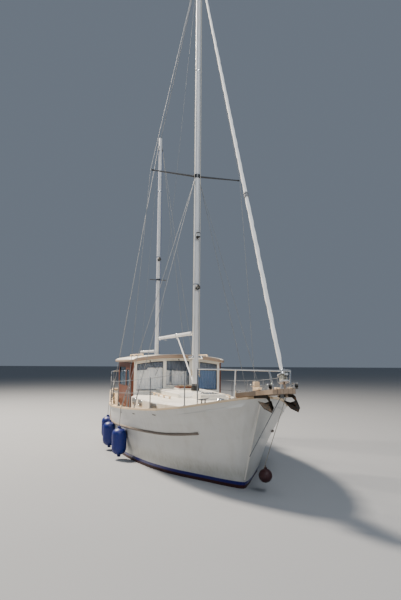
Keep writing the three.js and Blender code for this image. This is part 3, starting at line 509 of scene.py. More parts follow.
# Dark navy cloth for the valance, a sheet of painted shade under the roof's overhang.
SHADE_VALANCE_CLOTH = Cloth("navy_shade_cloth", "cushion", "1b2a45", "2c3d5c", 0.0018, 0.85, 0.3)
FENDER_BLUE = Vinyl("fender_blue", "fender", "021560", "082a84", 0.3)
BALL_RED = Vinyl("ball_red", "ball", "33060b", "24080b", 0.4)
BLACK = Vinyl("black_rubber", "strake_wood", "141414", "2e2e2d", 0.5)
ROPE = Cloth("rope", "sailcloth", "d9d4c4", "b7b19f", 0.004, 0.9, 0.1)
LANYARD = Cloth("lanyard", "sailcloth", "6b675c", "807b6e", 0.004, 0.9, 0.1)
BLUE_ROPE = Cloth("blue_rope", "fender", "1d3c78", "30508c", 0.004, 0.9, 0.1)
GLASS = Glazing("window_glass", "window")
FRONT_GLASS = Glazing("front_glass", "window", "7d8f9c", 0.93)
SMOKED = Glazing("smoked_glass", "window", "161b20", 0.2)
RED_LENS = Glazing("red_lens", "window", "a3120e", 0.15)
CLEAR_LENS = Glazing("clear_lens", "window", "d8dcdc", 0.35)
DIAL = Vinyl("dial_face", "window", "1a1c1e", "34383c", 0.3)
# The roof edging's tan is toned down as painted shade on the roof's front edge.
SHADE_TONED_EDGING = Timber("roof_edging", "teak", "8b7461", "ad9884", Grain.ACROSS, 0.6, 0.1, wear="b0a293")
SEAT = Cloth("seat_cloth", "cushion", "2b3a52", "42536f", 0.0016, 0.85, 0.3)
PIPING = Cloth("piping", "cushion", "c8c4b8", "dad7cd", 0.0016, 0.8, 0.2)


# Shapes


def angles(count: int, places: int | None = None) -> list[float]:
    """Give the angles of some places round a circle that a full turn of some count divides."""
    return [2 * pi * k / count for k in range(places or count)]


def circle(centre: Vector, first: Vector, second: Vector, count: int) -> Line:
    """Give points round a centre, along two directions as long as the radii."""
    return [centre + first * cos(a) + second * sin(a) for a in angles(count)]


def linked(name: str, data: bpy.types.ID) -> bpy.types.Object:
    """Make an object of some data, in the scene."""
    made = bpy.data.objects.new(name, data)
    bpy.context.scene.collection.objects.link(made)
    return made


class Solid:
    """Points and faces of one piece, gathered from simple forms."""

    def __init__(self) -> None:
        """Start empty."""
        self.points: Line = []
        self.faces: list[list[int]] = []
        self.skins: list[int] = []

    def add(self, points: Line, faces: list[list[int]], skin: int = 0) -> "Solid":
        """Add points and faces, which take the finish of some number.

        Args:
            points: Their places.
            faces: The numbers of each face's points.
            skin: Its finish's number.

        Returns:
            This solid.
        """
        start = len(self.points)
        self.points += [Vector(p) for p in points]
        self.faces += [[start + n for n in face] for face in faces]
        self.skins += [skin] * len(faces)
        return self

    def box(self, low: Point, high: Point, skin: int = 0) -> "Solid":
        """Add a box between two corners."""
        corners = [(x, y, z) for x in (low[0], high[0]) for y in (low[1], high[1]) for z in (low[2], high[2])]
        faces = [[0, 1, 3, 2], [4, 6, 7, 5], [0, 4, 5, 1], [2, 3, 7, 6], [0, 2, 6, 4], [1, 5, 7, 3]]
        return self.add(corners, faces, skin)

    def rings(self, rings: list[Line], skin: int = 0, loop: bool = False) -> "Solid":
        """Join closed rings of like counts, in a loop or with both ends closed.

        Args:
            rings: The rings.
            skin: Its finish's number.
            loop: Whether the last ring joins the first.

        Returns:
            This solid.
        """
        count = len(rings[0])
        points = [p for ring in rings for p in ring]
        faces = []
        for n in range(len(rings) if loop else len(rings) - 1):
            m = (n + 1) % len(rings)
            for k in range(count):
                j = (k + 1) % count
                faces.append([n * count + k, n * count + j, m * count + j, m * count + k])
        if not loop:
            faces.append(list(range(count))[::-1])
            faces.append([(len(rings) - 1) * count + k for k in range(count)])
        return self.add(points, faces, skin)

    def turned(self, profile: list[Pair], base: Point, way: Point = (0, 0, 1), sides: int = 20,
               skin: int = 0) -> "Solid":
        """Turn a profile about an axis.

        Args:
            profile: Places along the axis and radii, in order.
            base: Where the axis starts.
            way: The axis's direction.
            sides: Faces around.
            skin: The finish's number.

        Returns:
            This solid.
        """
        turn = UP.rotation_difference(Vector(way))
        rings = []
        for along, radius in profile:
            r = max(radius, LEAST_RADIUS)
            rings.append([Vector(base) + turn @ Vector((r * cos(a), r * sin(a), along))
                          for a in angles(sides)])
        return self.rings(rings, skin)

    def rod(self, start: Point, end: Point, r: float, r_end: float | None = None, sides: int = 12,
            skin: int = 0) -> "Solid":
        """Add a straight rod, tapered where its end has another radius."""
        way = Vector(end) - Vector(start)
        return self.turned([(0, r), (way.length, r if r_end is None else r_end)], start, way, sides, skin)

    def tube(self, path: list[Point], r: float, sides: int = 8, loop: bool = False, skin: int = 0) -> "Solid":
        """Add a round tube along a path of points.

        Args:
            path: Its middle line.
            r: Its radius.
            sides: Faces around.
            loop: Whether it closes.
            skin: Its finish's number.

        Returns:
            This solid.
        """
        points = [Vector(p) for p in path]
        count = len(points)
        rings = []
        normal = None
        for n, point in enumerate(points):
            before = points[(n - 1) % count] if loop or n > 0 else point
            after = points[(n + 1) % count] if loop or n < count - 1 else point
            way = (after - before).normalized()
            if normal is None:
                normal = way.orthogonal().normalized()
            normal = (normal - way * normal.dot(way)).normalized()
            other = way.cross(normal)
            rings.append([point + r * (cos(a) * normal + sin(a) * other) for a in angles(sides)])
        return self.rings(rings, skin, loop)

    def sheet(self, rows: list[Line], skin: int = 0) -> "Solid":
        """Add an open surface through rows of points."""
        count = len(rows[0])
        faces = [[n * count + k, n * count + k + 1, (n + 1) * count + k + 1, (n + 1) * count + k]
                 for n in range(len(rows) - 1) for k in range(count - 1)]
        return self.add([p for row in rows for p in row], faces, skin)

    def prism(self, outline: list[Point], depth: Point, skin: int = 0) -> "Solid":
        """Add a flat outline, made thick along a direction."""
        first = [Vector(p) for p in outline]
        return self.rings([first, [p + Vector(depth) for p in first]], skin)

    def made(self, name: str, finishes: list[Finish], body: str = "boat", bevel: float = 0.0,
             angle: float = 38.0) -> bpy.types.Object:
        """Make the piece.

        Args:
            name: The piece's name.
            finishes: Its finishes, by skin number.
            body: The body that it rides on.
            bevel: The width of its rounded edges.
            angle: Edges that turn more than this, in degrees, stay sharp.

        Returns:
            The piece.
        """
        mesh = bpy.data.meshes.new(name)
        mesh.from_pydata(self.points, [], self.faces)
        for finish in finishes:
            mesh.materials.append(finish.material())
        mesh.polygons.foreach_set("material_index", self.skins)
        mesh.polygons.foreach_set("use_smooth", [True] * len(self.faces))
        mesh.validate()
        mesh.set_sharp_from_angle(angle=radians(angle))
        piece = linked(name, mesh)
        if bevel:
            edges = piece.modifiers.new("edges", "BEVEL")
            edges.width = bevel
            edges.segments = 2
            edges.limit_method = "ANGLE"
            edges.angle_limit = radians(angle)
        return keep(piece, body)


def keep(piece: bpy.types.Object, body: str) -> bpy.types.Object:
    """Let a piece ride on its body and report it.

    Args:
        piece: The piece.
        body: The body.

    Returns:
        The piece.
    """
    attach(piece, body)
    log.info("%s rides on %s, %d faces", piece.name, body, len(piece.data.polygons))
    return piece


def dress(finish: Finish, *nodes: str) -> None:
    """Give CAD nodes a finish.

    Args:
        finish: The finish.
        nodes: The nodes' names.
    """
    for name in nodes:
        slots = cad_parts[name].data.materials
        slots.clear()
        slots.append(finish.material())
        log.info("%s is finished in %s", name, finish.name)


class Surface:
    """A CAD node's skin, met by straight lines."""

    def __init__(self, *nodes: str) -> None:
        """Read the nodes' faces.

        Args:
            nodes: The nodes' names.
        """
        points: Line = []
        faces: list[list[int]] = []
        for name in nodes:
            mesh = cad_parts[name].data
            start = len(points)
            points += [v.co.copy() for v in mesh.vertices]
            faces += [[start + n for n in p.vertices] for p in mesh.polygons]
        self.tree = BVHTree.FromPolygons(points, faces)

    def meet(self, start: Point, way: Point) -> tuple[Vector, Vector]:
        """Give the first point on a line, and the surface's direction there.

        Args:
            start: Where the line starts.
            way: Its direction.

        Returns:
            The point and the direction.
        """
        place, facing, _, _ = self.tree.ray_cast(Vector(start), Vector(way).normalized())
        if place is None:
            raise ValueError(f"nothing lies along {way} from {start}")
        return place, facing

    def under(self, x: float, y: float) -> Vector:
        """Give the highest point at some place in plan."""
        return self.meet((x, y, 3), (0, 0, -1))[0]

    def beside(self, x: float, side: int, z: float) -> tuple[Vector, Vector, Vector, Vector]:
        """Give the outermost point on one side, and the surface's directions out, across and up there.

        Args:
            x: The place along the boat.
            side: 1 for port, -1 for starboard.
            z: The height.

        Returns:
            The point and the three directions.
        """
        place, out = self.meet((x, side * 3, z), (0, -side, 0))
        across = UP.cross(out).normalized()
        return place, out, across, out.cross(across)


class Rail(Surface):
    """The caprail's top, found by lines from above."""

    def __init__(self) -> None:
        """Read the caprail."""
        super().__init__("caprail")

    def edge(self, x: float, side: int) -> Vector:
        """Give the top's outer edge at some place along the boat.

        Args:
            x: The place.
            side: 1 for port, -1 for starboard.

        Returns:
            The edge's point.
        """
        for step in range(180):
            y = side * (1.8 - 0.01 * step)
            place = self.tree.ray_cast(Vector((x, y, 3)), Vector((0, 0, -1)))[0]
            if place is not None:
                return place
        raise ValueError(f"no caprail at {x}")

    def top(self, x: float, side: int, inward: float) -> Vector:
        """Give a point on the top, some way in from its outer edge."""
        return self.under(x, self.edge(x, side).y - side * inward)


def curve(points: list[Point], steps: int) -> Line:
    """Run a smooth line through points.

    Args:
        points: The points that it passes.
        steps: Stretches between two of them.

    Returns:
        The line's points.
    """
    held = [Vector(p) for p in points]
    held = [2 * held[0] - held[1], *held, 2 * held[-1] - held[-2]]
    line = []
    for n in range(1, len(held) - 2):
        a, b, c, d = held[n - 1:n + 3]
        for k in range(steps):
            t = k / steps
            line.append(0.5 * (2 * b + (c - a) * t + (2 * a - 5 * b + 4 * c - d) * t * t
                               + (3 * b - a - 3 * c + d) * t ** 3))
    return [*line, held[-2]]


def oblong(centre: Point, across: Point, up: Point, width: float, height: float,
           bend: float = 0.42) -> Line:
    """Draw a rounded oblong whose short ends are arcs.

    Args:
        centre: Its middle.
        across: The direction of its width.
        up: The direction of its height.
        width: Its full width.
        height: Its full height.
        bend: The corners' radius, as a share of the shorter side.

    Returns:
        The outline's points.
    """
    corners, r = 6, min(height, width) * bend
    outline = []
    for quarter, (sx, sy) in enumerate(((1, 1), (-1, 1), (-1, -1), (1, -1))):
        for k in range(corners + 1):
            a = (quarter + k / corners) * pi / 2
            u = sx * (width / 2 - r) + r * cos(a)
            v = sy * (height / 2 - r) + r * sin(a)
            outline.append(Vector(centre) + Vector(across) * u + Vector(up) * v)
    return outline


def framed(solid: Solid, outer: Line, inner: Line, out: Vector, skin: int = 0) -> Solid:
    """Add a flat ring between two outlines of like counts, made thick along a direction.

    Args:
        solid: The solid that gets it.
        outer: The outer outline.
        inner: The inner outline.
        out: Its thickness, as a vector.
        skin: Its finish's number.

    Returns:
        The solid.
    """
    rings = [outer, [p + out for p in outer], [p + out for p in inner], inner]
    count = len(outer)
    points = [p for ring in rings for p in ring]
    faces = [[n * count + k, n * count + (k + 1) % count, (n + 1) % 4 * count + (k + 1) % count,
              (n + 1) % 4 * count + k] for n in range(4) for k in range(count)]
    return solid.add(points, faces, skin)


def handrail(skin: Surface, places: list[Pair], high: float, ends: float = 0.0) -> Solid:
    """Run a wooden rail over a surface, with a foot at every sixth place.

    Args:
        skin: The surface that it stands on.
        places: Its places in plan, a multiple of six and one more.
        high: How high it runs.
        ends: How far its ends reach past the last feet, drooping a little.

    Returns:
        The rail.
    """
    solid = Solid()
    tops = []
    half_width, half_height, foot_reach = 0.017, 0.012, 0.037
    for n, (x, y) in enumerate(places):
        foot = skin.under(x, y)
        tops.append(foot + UP * high)
        if n % 6 == 0:
            solid.box((x - foot_reach, y - 0.014, foot.z - 0.005),
                      (x + foot_reach, y + 0.014, foot.z + high - 0.002))
    if ends:
        reach = AHEAD * copysign(ends, tops[-1].x - tops[0].x)
        droop = UP * half_height
        tops = [tops[0] - reach - droop, *tops, tops[-1] + reach - droop]
    return solid.rings([circle(p, PORT * half_width, UP * half_height, 12) for p in tops])


def middle(low: Vector, high: Vector) -> Vector:
    """Give the point halfway between two."""
    return (low + high) / 2


@dataclass(frozen=True)
class Spar:
    """A mast's place and taper."""

    node: str
    x: float
    foot: float
    head: float
    r: float

    def radius(self, z: float) -> float:
        """Give the mast's radius at some height."""
        return self.r * (1 - 0.15 * (z - self.foot) / (self.head - self.foot))


MAIN = Spar("main_mast", 1.62, 1.462, 11.84, 0.07)
MIZZEN = Spar("mizzen_mast", -2.4, 0.94, 9.17, 0.06)


# Hull


@dataclass
class HullDressing:
    """The hull's paint, its deck fittings and the gear under the waterline."""

    cleat_places: tuple[float, ...] = (4.5, 0.9, -1.9, -4.55)
    cleat_length: float = 0.26
    cleat_height: float = 0.075
    scupper_places: tuple[float, ...] = (3.2, 2.2, 1.2, 0.2, -0.8, -1.8, -3.3)
    scupper_drop: float = 0.115
    cap_places: tuple[Pair, ...] = ((1.2, 1.36), (0.5, 1.36), (-2.6, 1.2))

    def build(self) -> None:
        """Dress the nodes and add the fittings."""
        dress(HULL_PAINT, "hull")
        dress(BOTTOM, "keel", "rudder")
        dress(BRONZE, "propeller")
        dress(TEAK, "caprail")
        dress(STRAKE_WOOD, "rub_strake_port", "rub_strake_starboard")
        self.skin = Surface("hull")
        self.rail = Rail()
        self.cleats()
        self.stem_band()
        self.scuppers()
        self.deck_plates()
        self.stern_fittings()

    def cleats(self) -> None:
        """Put horned cleats on the caprail."""
        for name, side in SIDES:
            for n, x in enumerate(self.cleat_places):
                foot = self.rail.top(x, side, 0.046)
                along = (self.rail.edge(x + 0.05, side) - self.rail.edge(x - 0.05, side)).normalized()
                self.cleat(foot, along).made(f"cleat_{name}_{n + 1}", [GALVANISED], bevel=0.002)

    def cleat(self, foot: Vector, along: Vector) -> Solid:
        """Form one cleat on its foot, along the rail.

        Args:
            foot: Its foot.
            along: The rail's direction.

        Returns:
            The cleat.
        """
        half, top = self.cleat_length / 2, self.cleat_height
        solid = Solid()
        for share in (-0.3, 0.3):
            base = foot + along * half * share
            solid.turned([(0.0005, 0.022), (0.008, 0.02), (0.014, 0.012), (top - 0.01, 0.012)], base,
                         sides=12)
        side = Vector((-along.y, along.x, 0))
        horns = ((-1, 0.006, 0.012), (-0.75, 0.012, 0.004), (-0.3, 0.016, 0), (0.3, 0.016, 0),
                 (0.75, 0.012, 0.004), (1, 0.006, 0.012))
        return solid.rings([
            circle(foot + along * half * share + UP * (top - 0.008 + rise), side * r, UP * r * 0.8, 10)
            for share, r, rise in horns
        ])

    def stem_band(self) -> None:
        """Run a painted half-round band down the stem."""
        heights = [1.46 - 0.1 * n for n in range(14)]
        line = [self.skin.meet((8, 0, z), -AHEAD)[0] + AHEAD * 0.002 for z in heights]
        Solid().tube(line, 0.012, 10).made("stem_band", [SMOOTH_WHITE])

    def scuppers(self) -> None:
        """Set narrow freeing ports along the bulwark, each in its white rim."""
        for name, side in SIDES:
            solid = Solid()
            for x in self.scupper_places:
                z = self.rail.edge(x, side).z - self.scupper_drop
                place, out, across, up = self.skin.beside(x, side, z)
                start = place - out * 0.004
                framed(solid, oblong(start, across, up, 0.15, 0.034), oblong(start, across, up, 0.134, 0.02),
                       out * 0.008)
                solid.prism(oblong(start, across, up, 0.136, 0.022), out * 0.0055, 1)
            solid.made(f"scuppers_{name}", [SMOOTH_WHITE, BLACK])

    def deck_plates(self) -> None:
        """Set filler caps in the side decks, beside the wheelhouse."""
        for name, side in SIDES:
            solid = Solid()
            for x, y in self.cap_places:
                foot = self.skin.under(x, side * y)
                solid.turned([(-0.002, 0.04), (0.005, 0.04), (0.007, 0.034), (0.007, 0.0)], foot, sides=20)
                solid.box((foot.x - 0.018, foot.y - 0.004, foot.z + 0.006),
                          (foot.x + 0.018, foot.y + 0.004, foot.z + 0.012))
            solid.made(f"filler_caps_{name}", [BRONZE])

    def stern_fittings(self) -> None:
        """Set the exhaust outlet, the drains and a stern light on the transom."""
        solid = Solid()
        for y, z, r in ((-0.42, 0.3, 0.045), (0.46, 0.34, 0.02), (0.56, 0.34, 0.02)):
            place, facing = self.skin.meet((-8, y, z), AHEAD)
            solid.turned([(-0.01, r * 1.5), (0.008, r * 1.45), (0.012, r * 1.1), (0.03, r), (0.03, r * 0.8),
                          (-0.01, r * 0.78)], place, facing, 18)
        solid.made("transom_outlets", [BRONZE])
        place, facing = self.skin.meet((-8, 0, 0.93), AHEAD)
        lamp = Solid().turned([(0, 0.045), (0.018, 0.045), (0.026, 0.036), (0.026, 0)], place, facing, 20)
        lamp.turned([(0.02, 0.03), (0.045, 0.028), (0.056, 0.018), (0.06, 0)], place, facing, 18, 1)
        lamp.made("stern_light", [BLACK, CLEAR_LENS])


# Bow gear


@dataclass
class BowGear:
    """The platform, its anchors, rollers and chain, the windlass, the pulpit and its lamp."""

    slope: float = 0.1
    stem_x: float = 5.2
    stem_z: float = 1.58
    thick: float = 0.066
    anchor_tracks: tuple[tuple[str, float, float], ...] = (("starboard", -0.145, 5.75), ("port", 0.145, 6.0))
    anchor_reach: float = 0.33
    link_pitch: float = 0.034
    link_wire: float = 0.0045

    def build(self) -> None:
        """Dress the nodes and add the gear."""
        dress(PLANKED_TEAK, "anchor_platform")
        dress(GALVANISED, "windlass")
        dress(RIGGING, "bobstay")
        dress(STAINLESS, "bow_pulpit")
        self.top = Surface("anchor_platform", "hull", "windlass")
        self.rollers()
        self.anchors()
        self.chains()
        self.windlass_details()
        self.blocks()
        self.bow_light()

    def height(self, x: float, up: float = 0.0) -> float:
        """Give the platform's top at some place along the boat, and a rise over it."""
        return self.stem_z + (x - self.stem_x) * tan(self.slope) + (self.thick + up) / cos(self.slope)

    def rollers(self) -> None:
        """Set a roller between cheeks on the platform for each anchor."""
        for name, y, x in self.anchor_tracks:
            low = self.height(x, 0.0005)
            cheek = [(x - 0.16, low - 0.016), (x + 0.07, self.height(x + 0.07, 0.0005)),
                     (x + 0.07, low + 0.075), (x + 0.02, low + 0.1), (x - 0.05, low + 0.075),
                     (x - 0.16, low + 0.01)]
            solid = Solid()
            for edge in (-0.034, 0.028):
                solid.prism([(along, y + edge, up) for along, up in cheek], (0, 0.006, 0))
            axle = Vector((x + 0.01, y, self.height(x, 0.05)))
            solid.turned([(0, 0.028), (0.008, 0.028), (0.026, 0.017), (0.044, 0.028), (0.052, 0.028)],
                         axle - PORT * 0.026, PORT, 18, 1)
            solid.rod(axle - PORT * 0.045, axle + PORT * 0.045, 0.008)
            solid.made(f"bow_roller_{name}", [STAINLESS, BLACK], bevel=0.0015)

    def anchors(self) -> None:
        """Stow a plough anchor under the platform at each roller, its blades hanging below."""
        for name, y, x in self.anchor_tracks:
            aft = x - self.anchor_reach
            origin = Vector((aft, y, self.height(aft) - self.thick + 0.0194))
            turn = Quaternion(PORT, -self.slope)

            def at(along: float, side: float, up: float) -> Vector:
                """Give a point of the anchor's own frame."""
                return origin + turn @ Vector((along, side, up))

            solid = Solid()
            rings, corners = [], ((-1, -1), (-1, 1), (1, 1), (1, -1))
            for along, up, half, deep in ((-0.17, -0.04, 0.010, 0.018), (0.1, -0.04, 0.012, 0.021),
                                          (0.27, -0.046, 0.013, 0.023), (0.34, -0.08, 0.013, 0.024),
                                          (0.365, -0.125, 0.012, 0.022), (0.35, -0.165, 0.011, 0.018)):
                rings.append([at(along, u * half, up + v * deep) for u, v in corners])
            solid.rings(rings)
            tip, heel, ridge = at(0.425, 0, -0.27), at(0.19, 0, -0.135), at(0.32, 0, -0.155)
            for side in (-1, 1):
                wing = at(0.2, side * 0.105, -0.105)
                edge = at(0.335, side * 0.075, -0.215)
                down = turn @ Vector((-0.008, 0, -0.011))
                outline = [tip, edge, wing, heel, ridge]
                solid.rings([outline, [p + down for p in outline]])
            solid.rod(at(0.348, -0.024, -0.16), at(0.348, 0.024, -0.16), 0.011)
            ring = [at(-0.165 + 0.02 * cos(a), 0.02 * sin(a), -0.04) for a in angles(16)]
            solid.tube(ring, 0.005, 8, True)
            anchor = solid.made(f"plough_{name}", [DARK_IRON], bevel=0.002)
            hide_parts(f"anchor_{name}")

    def chains(self) -> None:
        """Lay a chain from the windlass to each roller."""
        for name, y, x in self.anchor_tracks:
            ends = [(4.42, y * 1.15, 1.45), (4.56, y * 1.05, self.height(4.6, 0.03)),
                    (4.8, y, self.height(4.8, 0.012)), (x - 0.1, y, self.height(x - 0.1, 0.012)),
                    (x + 0.01, y, self.height(x, 0.08))]
            self.chain(curve(ends, 40)).made(f"anchor_chain_{name}", [GALVANISED])

    def chain(self, line: Line) -> Solid:
        """Form a chain's links along a line, each turned by a quarter from the last.

        Args:
            line: The line.

        Returns:
            The links.
        """
        solid = Solid()
        walked = 0.0
        made = 0
        for before, after in zip(line, line[1:]):
            walked += (after - before).length
            if walked >= made * self.link_pitch:
                way = (after - before).normalized()
                side = way.cross(UP).normalized()
                tilt = radians(45 if made % 2 else -45)
                flat = side * cos(tilt) + side.cross(way) * sin(tilt)
                half, r = self.link_pitch * 0.46, 0.011
                loop = [after + way * (copysign(half, cos(a)) * 0.6 + r * cos(a) * 0.8)
                        + flat * r * sin(a) for a in angles(12)]
                solid.tube(loop, self.link_wire, 6, True)
                made += 1
        return solid

    def windlass_details(self) -> None:
        """Give the windlass its gypsies, clutch handles and cap, and set the foot switches."""
        low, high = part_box("windlass")
        centre = middle(low, high)
        axle = Vector((4.33, 0, high.z - 0.095))
        solid = Solid()
        for side in (-1, 1):
            out = PORT * side
            start, end = axle + out * 0.13, axle + out * 0.2305
            solid.turned([(0, 0.085), (0.01, 0.088), (0.02, 0.064), (0.045, 0.062), (0.058, 0.086),
                          (0.07, 0.086)], start, out, 24)
            for pocket in circle(start + out * 0.033, AHEAD * 0.058, UP * 0.058, 5):
                solid.turned([(-0.016, 0.011), (0.016, 0.011)], pocket, out, 8)
            solid.turned([(0, 0.04), (0.02, 0.036), (0.024, 0.02), (0.024, 0)], end, out, 18)
            for k in range(3):
                a = 2 * pi * (k + 0.25) / 3
                arm = Vector((cos(a), 0, sin(a)))
                solid.rod(end + arm * 0.02 + out * 0.012, end + arm * 0.062 + out * 0.03, 0.006, 0.008, 8)
        solid.made("windlass_gypsies", [GALVANISED])
        Solid().turned([(0, 0.065), (0.03, 0.064), (0.075, 0.054), (0.095, 0.03), (0.1, 0)],
                       (centre.x - 0.12, 0, low.z + 0.09), sides=24).made("windlass_cap", [SMOOTH_WHITE])
        switches = Solid()
        for y in (-0.3, 0.3):
            switches.turned([(0, 0.034), (0.012, 0.032), (0.012, 0.022), (0.02, 0.02), (0.022, 0)],
                            self.top.under(4.12, y), sides=18)
        switches.made("foot_switches", [BLACK])

    def blocks(self) -> None:
        """Set the wooden bitt and the anchors' chocks on the platform."""
        bitt = Solid()
        base = self.height(4.98, -0.004)
        bitt.box((4.95, -0.045, base), (5.03, 0.045, base + 0.17))
        bitt.rod((4.99, -0.1, base + 0.11), (4.99, 0.1, base + 0.11), 0.012, sides=14, skin=1)
        bitt.made("samson_post", [TEAK, STAINLESS], bevel=0.006)
        chock = Solid()
        x = 5.38
        low = self.height(x, 0.0005)
        section = [(x - 0.11, low), (x + 0.11, low + 0.02), (x + 0.11, low + 0.055), (x - 0.11, low + 0.05)]
        for y in (-0.185, -0.127, 0.105, 0.163):
            chock.prism([(along, y, up) for along, up in section], (0, 0.022, 0))
        chock.made("anchor_chocks", [TEAK], bevel=0.004)

    def bow_light(self) -> None:
        """Hang the bow lamp under the front of the pulpit's rail."""
        _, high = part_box("bow_pulpit")
        x, z = high.x - 0.032, high.z - 0.055
        lamp = Solid().turned([(0, 0.03), (0.012, 0.032), (0.016, 0.03)], (x, 0, z - 0.035), sides=18)
        lamp.turned([(0, 0.03), (0.01, 0.032), (0.03, 0.012), (0.034, 0)], (x, 0, z + 0.018), sides=18)
        lamp.turned([(0, 0.026), (0.034, 0.026)], (x, 0, z - 0.017), sides=18, skin=1)
        lamp.made("bow_light", [BLACK, CLEAR_LENS])


# Coachroof, hatches and aft trunk


@dataclass
class Cabins:
    """The coachroof and the aft trunk with their ports, rails and vents, and the three hatches."""

    port_width: float = 0.38
    port_height: float = 0.15
    fore_ports: tuple[float, ...] = (2.05, 1.05, 0.42)
    aft_ports: tuple[float, ...] = (-3.2, -3.85)
    rail_y: float = 0.74
    rail_ends: Pair = (0.3, 2.0)
    port_z: float = 1.17

    def build(self) -> None:
        """Dress the nodes and add the fittings."""
        dress(WHITE, "coachroof", "aft_trunk", "fore_hatch_lid", "aft_hatch_lid")
        dress(BRIGHT_TRIM, "skylight_lid")
        self.skins = {"coachroof": Surface("coachroof"), "aft_trunk": Surface("aft_trunk")}
        self.ports("coachroof", self.fore_ports, self.port_width)
        self.ports("aft_trunk", self.aft_ports, self.port_width - 0.02)
        self.handrails()
        self.vents()
        self.mast_boots()
        self.hatch("fore_hatch_lid", "fore_hatch", 0.34)
        self.hatch("aft_hatch_lid", "aft_hatch", 0.38)
        self.skylight()

    def ports(self, node: str, places: tuple[float, ...], width: float) -> None:
        """Set oblong ports in a cabin's sides.

        Args:
            node: The cabin's node.
            places: Their places along the boat.
            width: Their width.
        """
        height, band = self.port_height, 0.018
        for name, side in SIDES:
            solid = Solid()
            for x in places:
                place, out, across, up = self.skins[node].beside(x, side, self.port_z)
                start = place - out * 0.003
                outer, inner, pane = (oblong(start, across, up, width - less, height - less)
                                      for less in (0, 2 * band, 2 * band - 0.002))
                framed(solid, outer, inner, out * 0.014)
                solid.prism(pane, out * 0.008, 1)
                for u in (-1, 0, 1):
                    for v in (-1, 1):
                        screw = start + across * u * (width / 2 - 0.05) + up * v * (height - band) / 2
                        solid.turned([(0.012, 0.004), (0.0155, 0.003), (0.0155, 0)], screw, out, 8)
            solid.made(f"{node}_ports_{name}", [STAINLESS, SMOKED], bevel=0.0015)

    def handrails(self) -> None:
        """Run a wooden handrail on feet along each side of the coachroof."""
        first, last = self.rail_ends
        for name, side in SIDES:
            places = [(first + (last - first) * n / 24, side * (self.rail_y - 0.06 * (n / 24) ** 2))
                      for n in range(25)]
            rail = handrail(self.skins["coachroof"], places, 0.058, 0.05)
            rail.made(f"coachroof_handrail_{name}", [TEAK], bevel=0.004)

    def vents(self) -> None:
        """Set two mushroom vents on the coachroof and one on the aft trunk."""
        places = {"coachroof": ((3.28, 0.0), (0.5, 0.36)), "aft_trunk": ((-3.75, 0.3),)}
        for node, spots in places.items():
            solid = Solid()
            for x, y in spots:
                foot = self.skins[node].under(x, y)
                solid.turned([(-0.004, 0.075), (0.006, 0.075), (0.01, 0.05), (0.04, 0.048), (0.044, 0.03)],
                             foot, sides=24)
                solid.turned([(0.036, 0.078), (0.042, 0.084), (0.05, 0.08), (0.064, 0.055), (0.072, 0.02),
                              (0.074, 0)], foot, sides=24)
            solid.made(f"{node}_vents", [STAINLESS])

    def mast_boots(self) -> None:
        """Wrap each mast's foot in its rubber boot, under two clamps."""
        for spar in (MAIN, MIZZEN):
            r, foot = spar.r, Vector((spar.x, 0, spar.foot))
            solid = Solid()
            solid.turned([(0.002, r + 0.026), (0.03, r + 0.024), (0.055, r + 0.014), (0.1, r + 0.0075),
                          (0.148, r + 0.006), (0.15, r + 0.002)], foot, sides=28)
            for z in (0.112, 0.135):
                solid.turned([(z, r + 0.007), (z + 0.001, r + 0.0095), (z + 0.009, r + 0.0095),
                              (z + 0.01, r + 0.007)], foot, sides=28, skin=1)
            solid.made(f"{spar.node}_boot", [BLACK, STAINLESS])

    def hatch(self, node: str, body: str, size: float) -> None:
        """Give a hatch lid its smoked panel, its frame and two turn handles.

        Args:
            node: The lid's node.
            body: Its body.
            size: The panel's size.
        """
        low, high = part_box(node)
        centre = Vector(((low.x + high.x) / 2 - 0.01, 0, high.z))
        base = centre - UP * 0.003
        outer, inner, pane = (oblong(base, AHEAD, PORT, size + more, size + more)
                              for more in (0.05, 0, 0.001))
        solid = framed(Solid(), outer, inner, UP * 0.011)
        solid.prism(pane, (0, 0, 0.008), 1)
        for y in (-0.11, 0.11):
            grip = centre + Vector((-size / 2 + 0.05, y, 0.005))
            solid.turned([(0, 0.018), (0.008, 0.017), (0.012, 0.01), (0.012, 0)], grip, sides=16)
            solid.box((grip.x - 0.008, grip.y - 0.03, grip.z + 0.008),
                      (grip.x + 0.008, grip.y + 0.03, grip.z + 0.016))
        solid.made(f"{body}_panel", [STAINLESS, SMOKED], body, 0.0015)

    def skylight(self) -> None:
        """Give the skylight two panes under bronze guard bars."""
        low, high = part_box("skylight_lid")
        centre_x, reach = (low.x + high.x) / 2 - 0.01, 0.165
        solid = Solid()
        for middle_y in (-0.105, 0.105):
            pane = oblong((centre_x, middle_y, high.z - 0.003), AHEAD, PORT, 0.3, 0.17)
            solid.prism(pane, (0, 0, 0.007), 1)
            for y in (middle_y - 0.05, middle_y, middle_y + 0.05):
                solid.rod((centre_x - reach, y, high.z + 0.014), (centre_x + reach, y, high.z + 0.014), 0.004,
                          sides=10)
            for x in (centre_x - reach, centre_x + reach):
                solid.box((x - 0.006, middle_y - 0.07, high.z - 0.003),
                          (x + 0.006, middle_y + 0.07, high.z + 0.016))
        solid.made("skylight_bars", [BRONZE, SMOKED], "skylight", 0.001)


# Wheelhouse


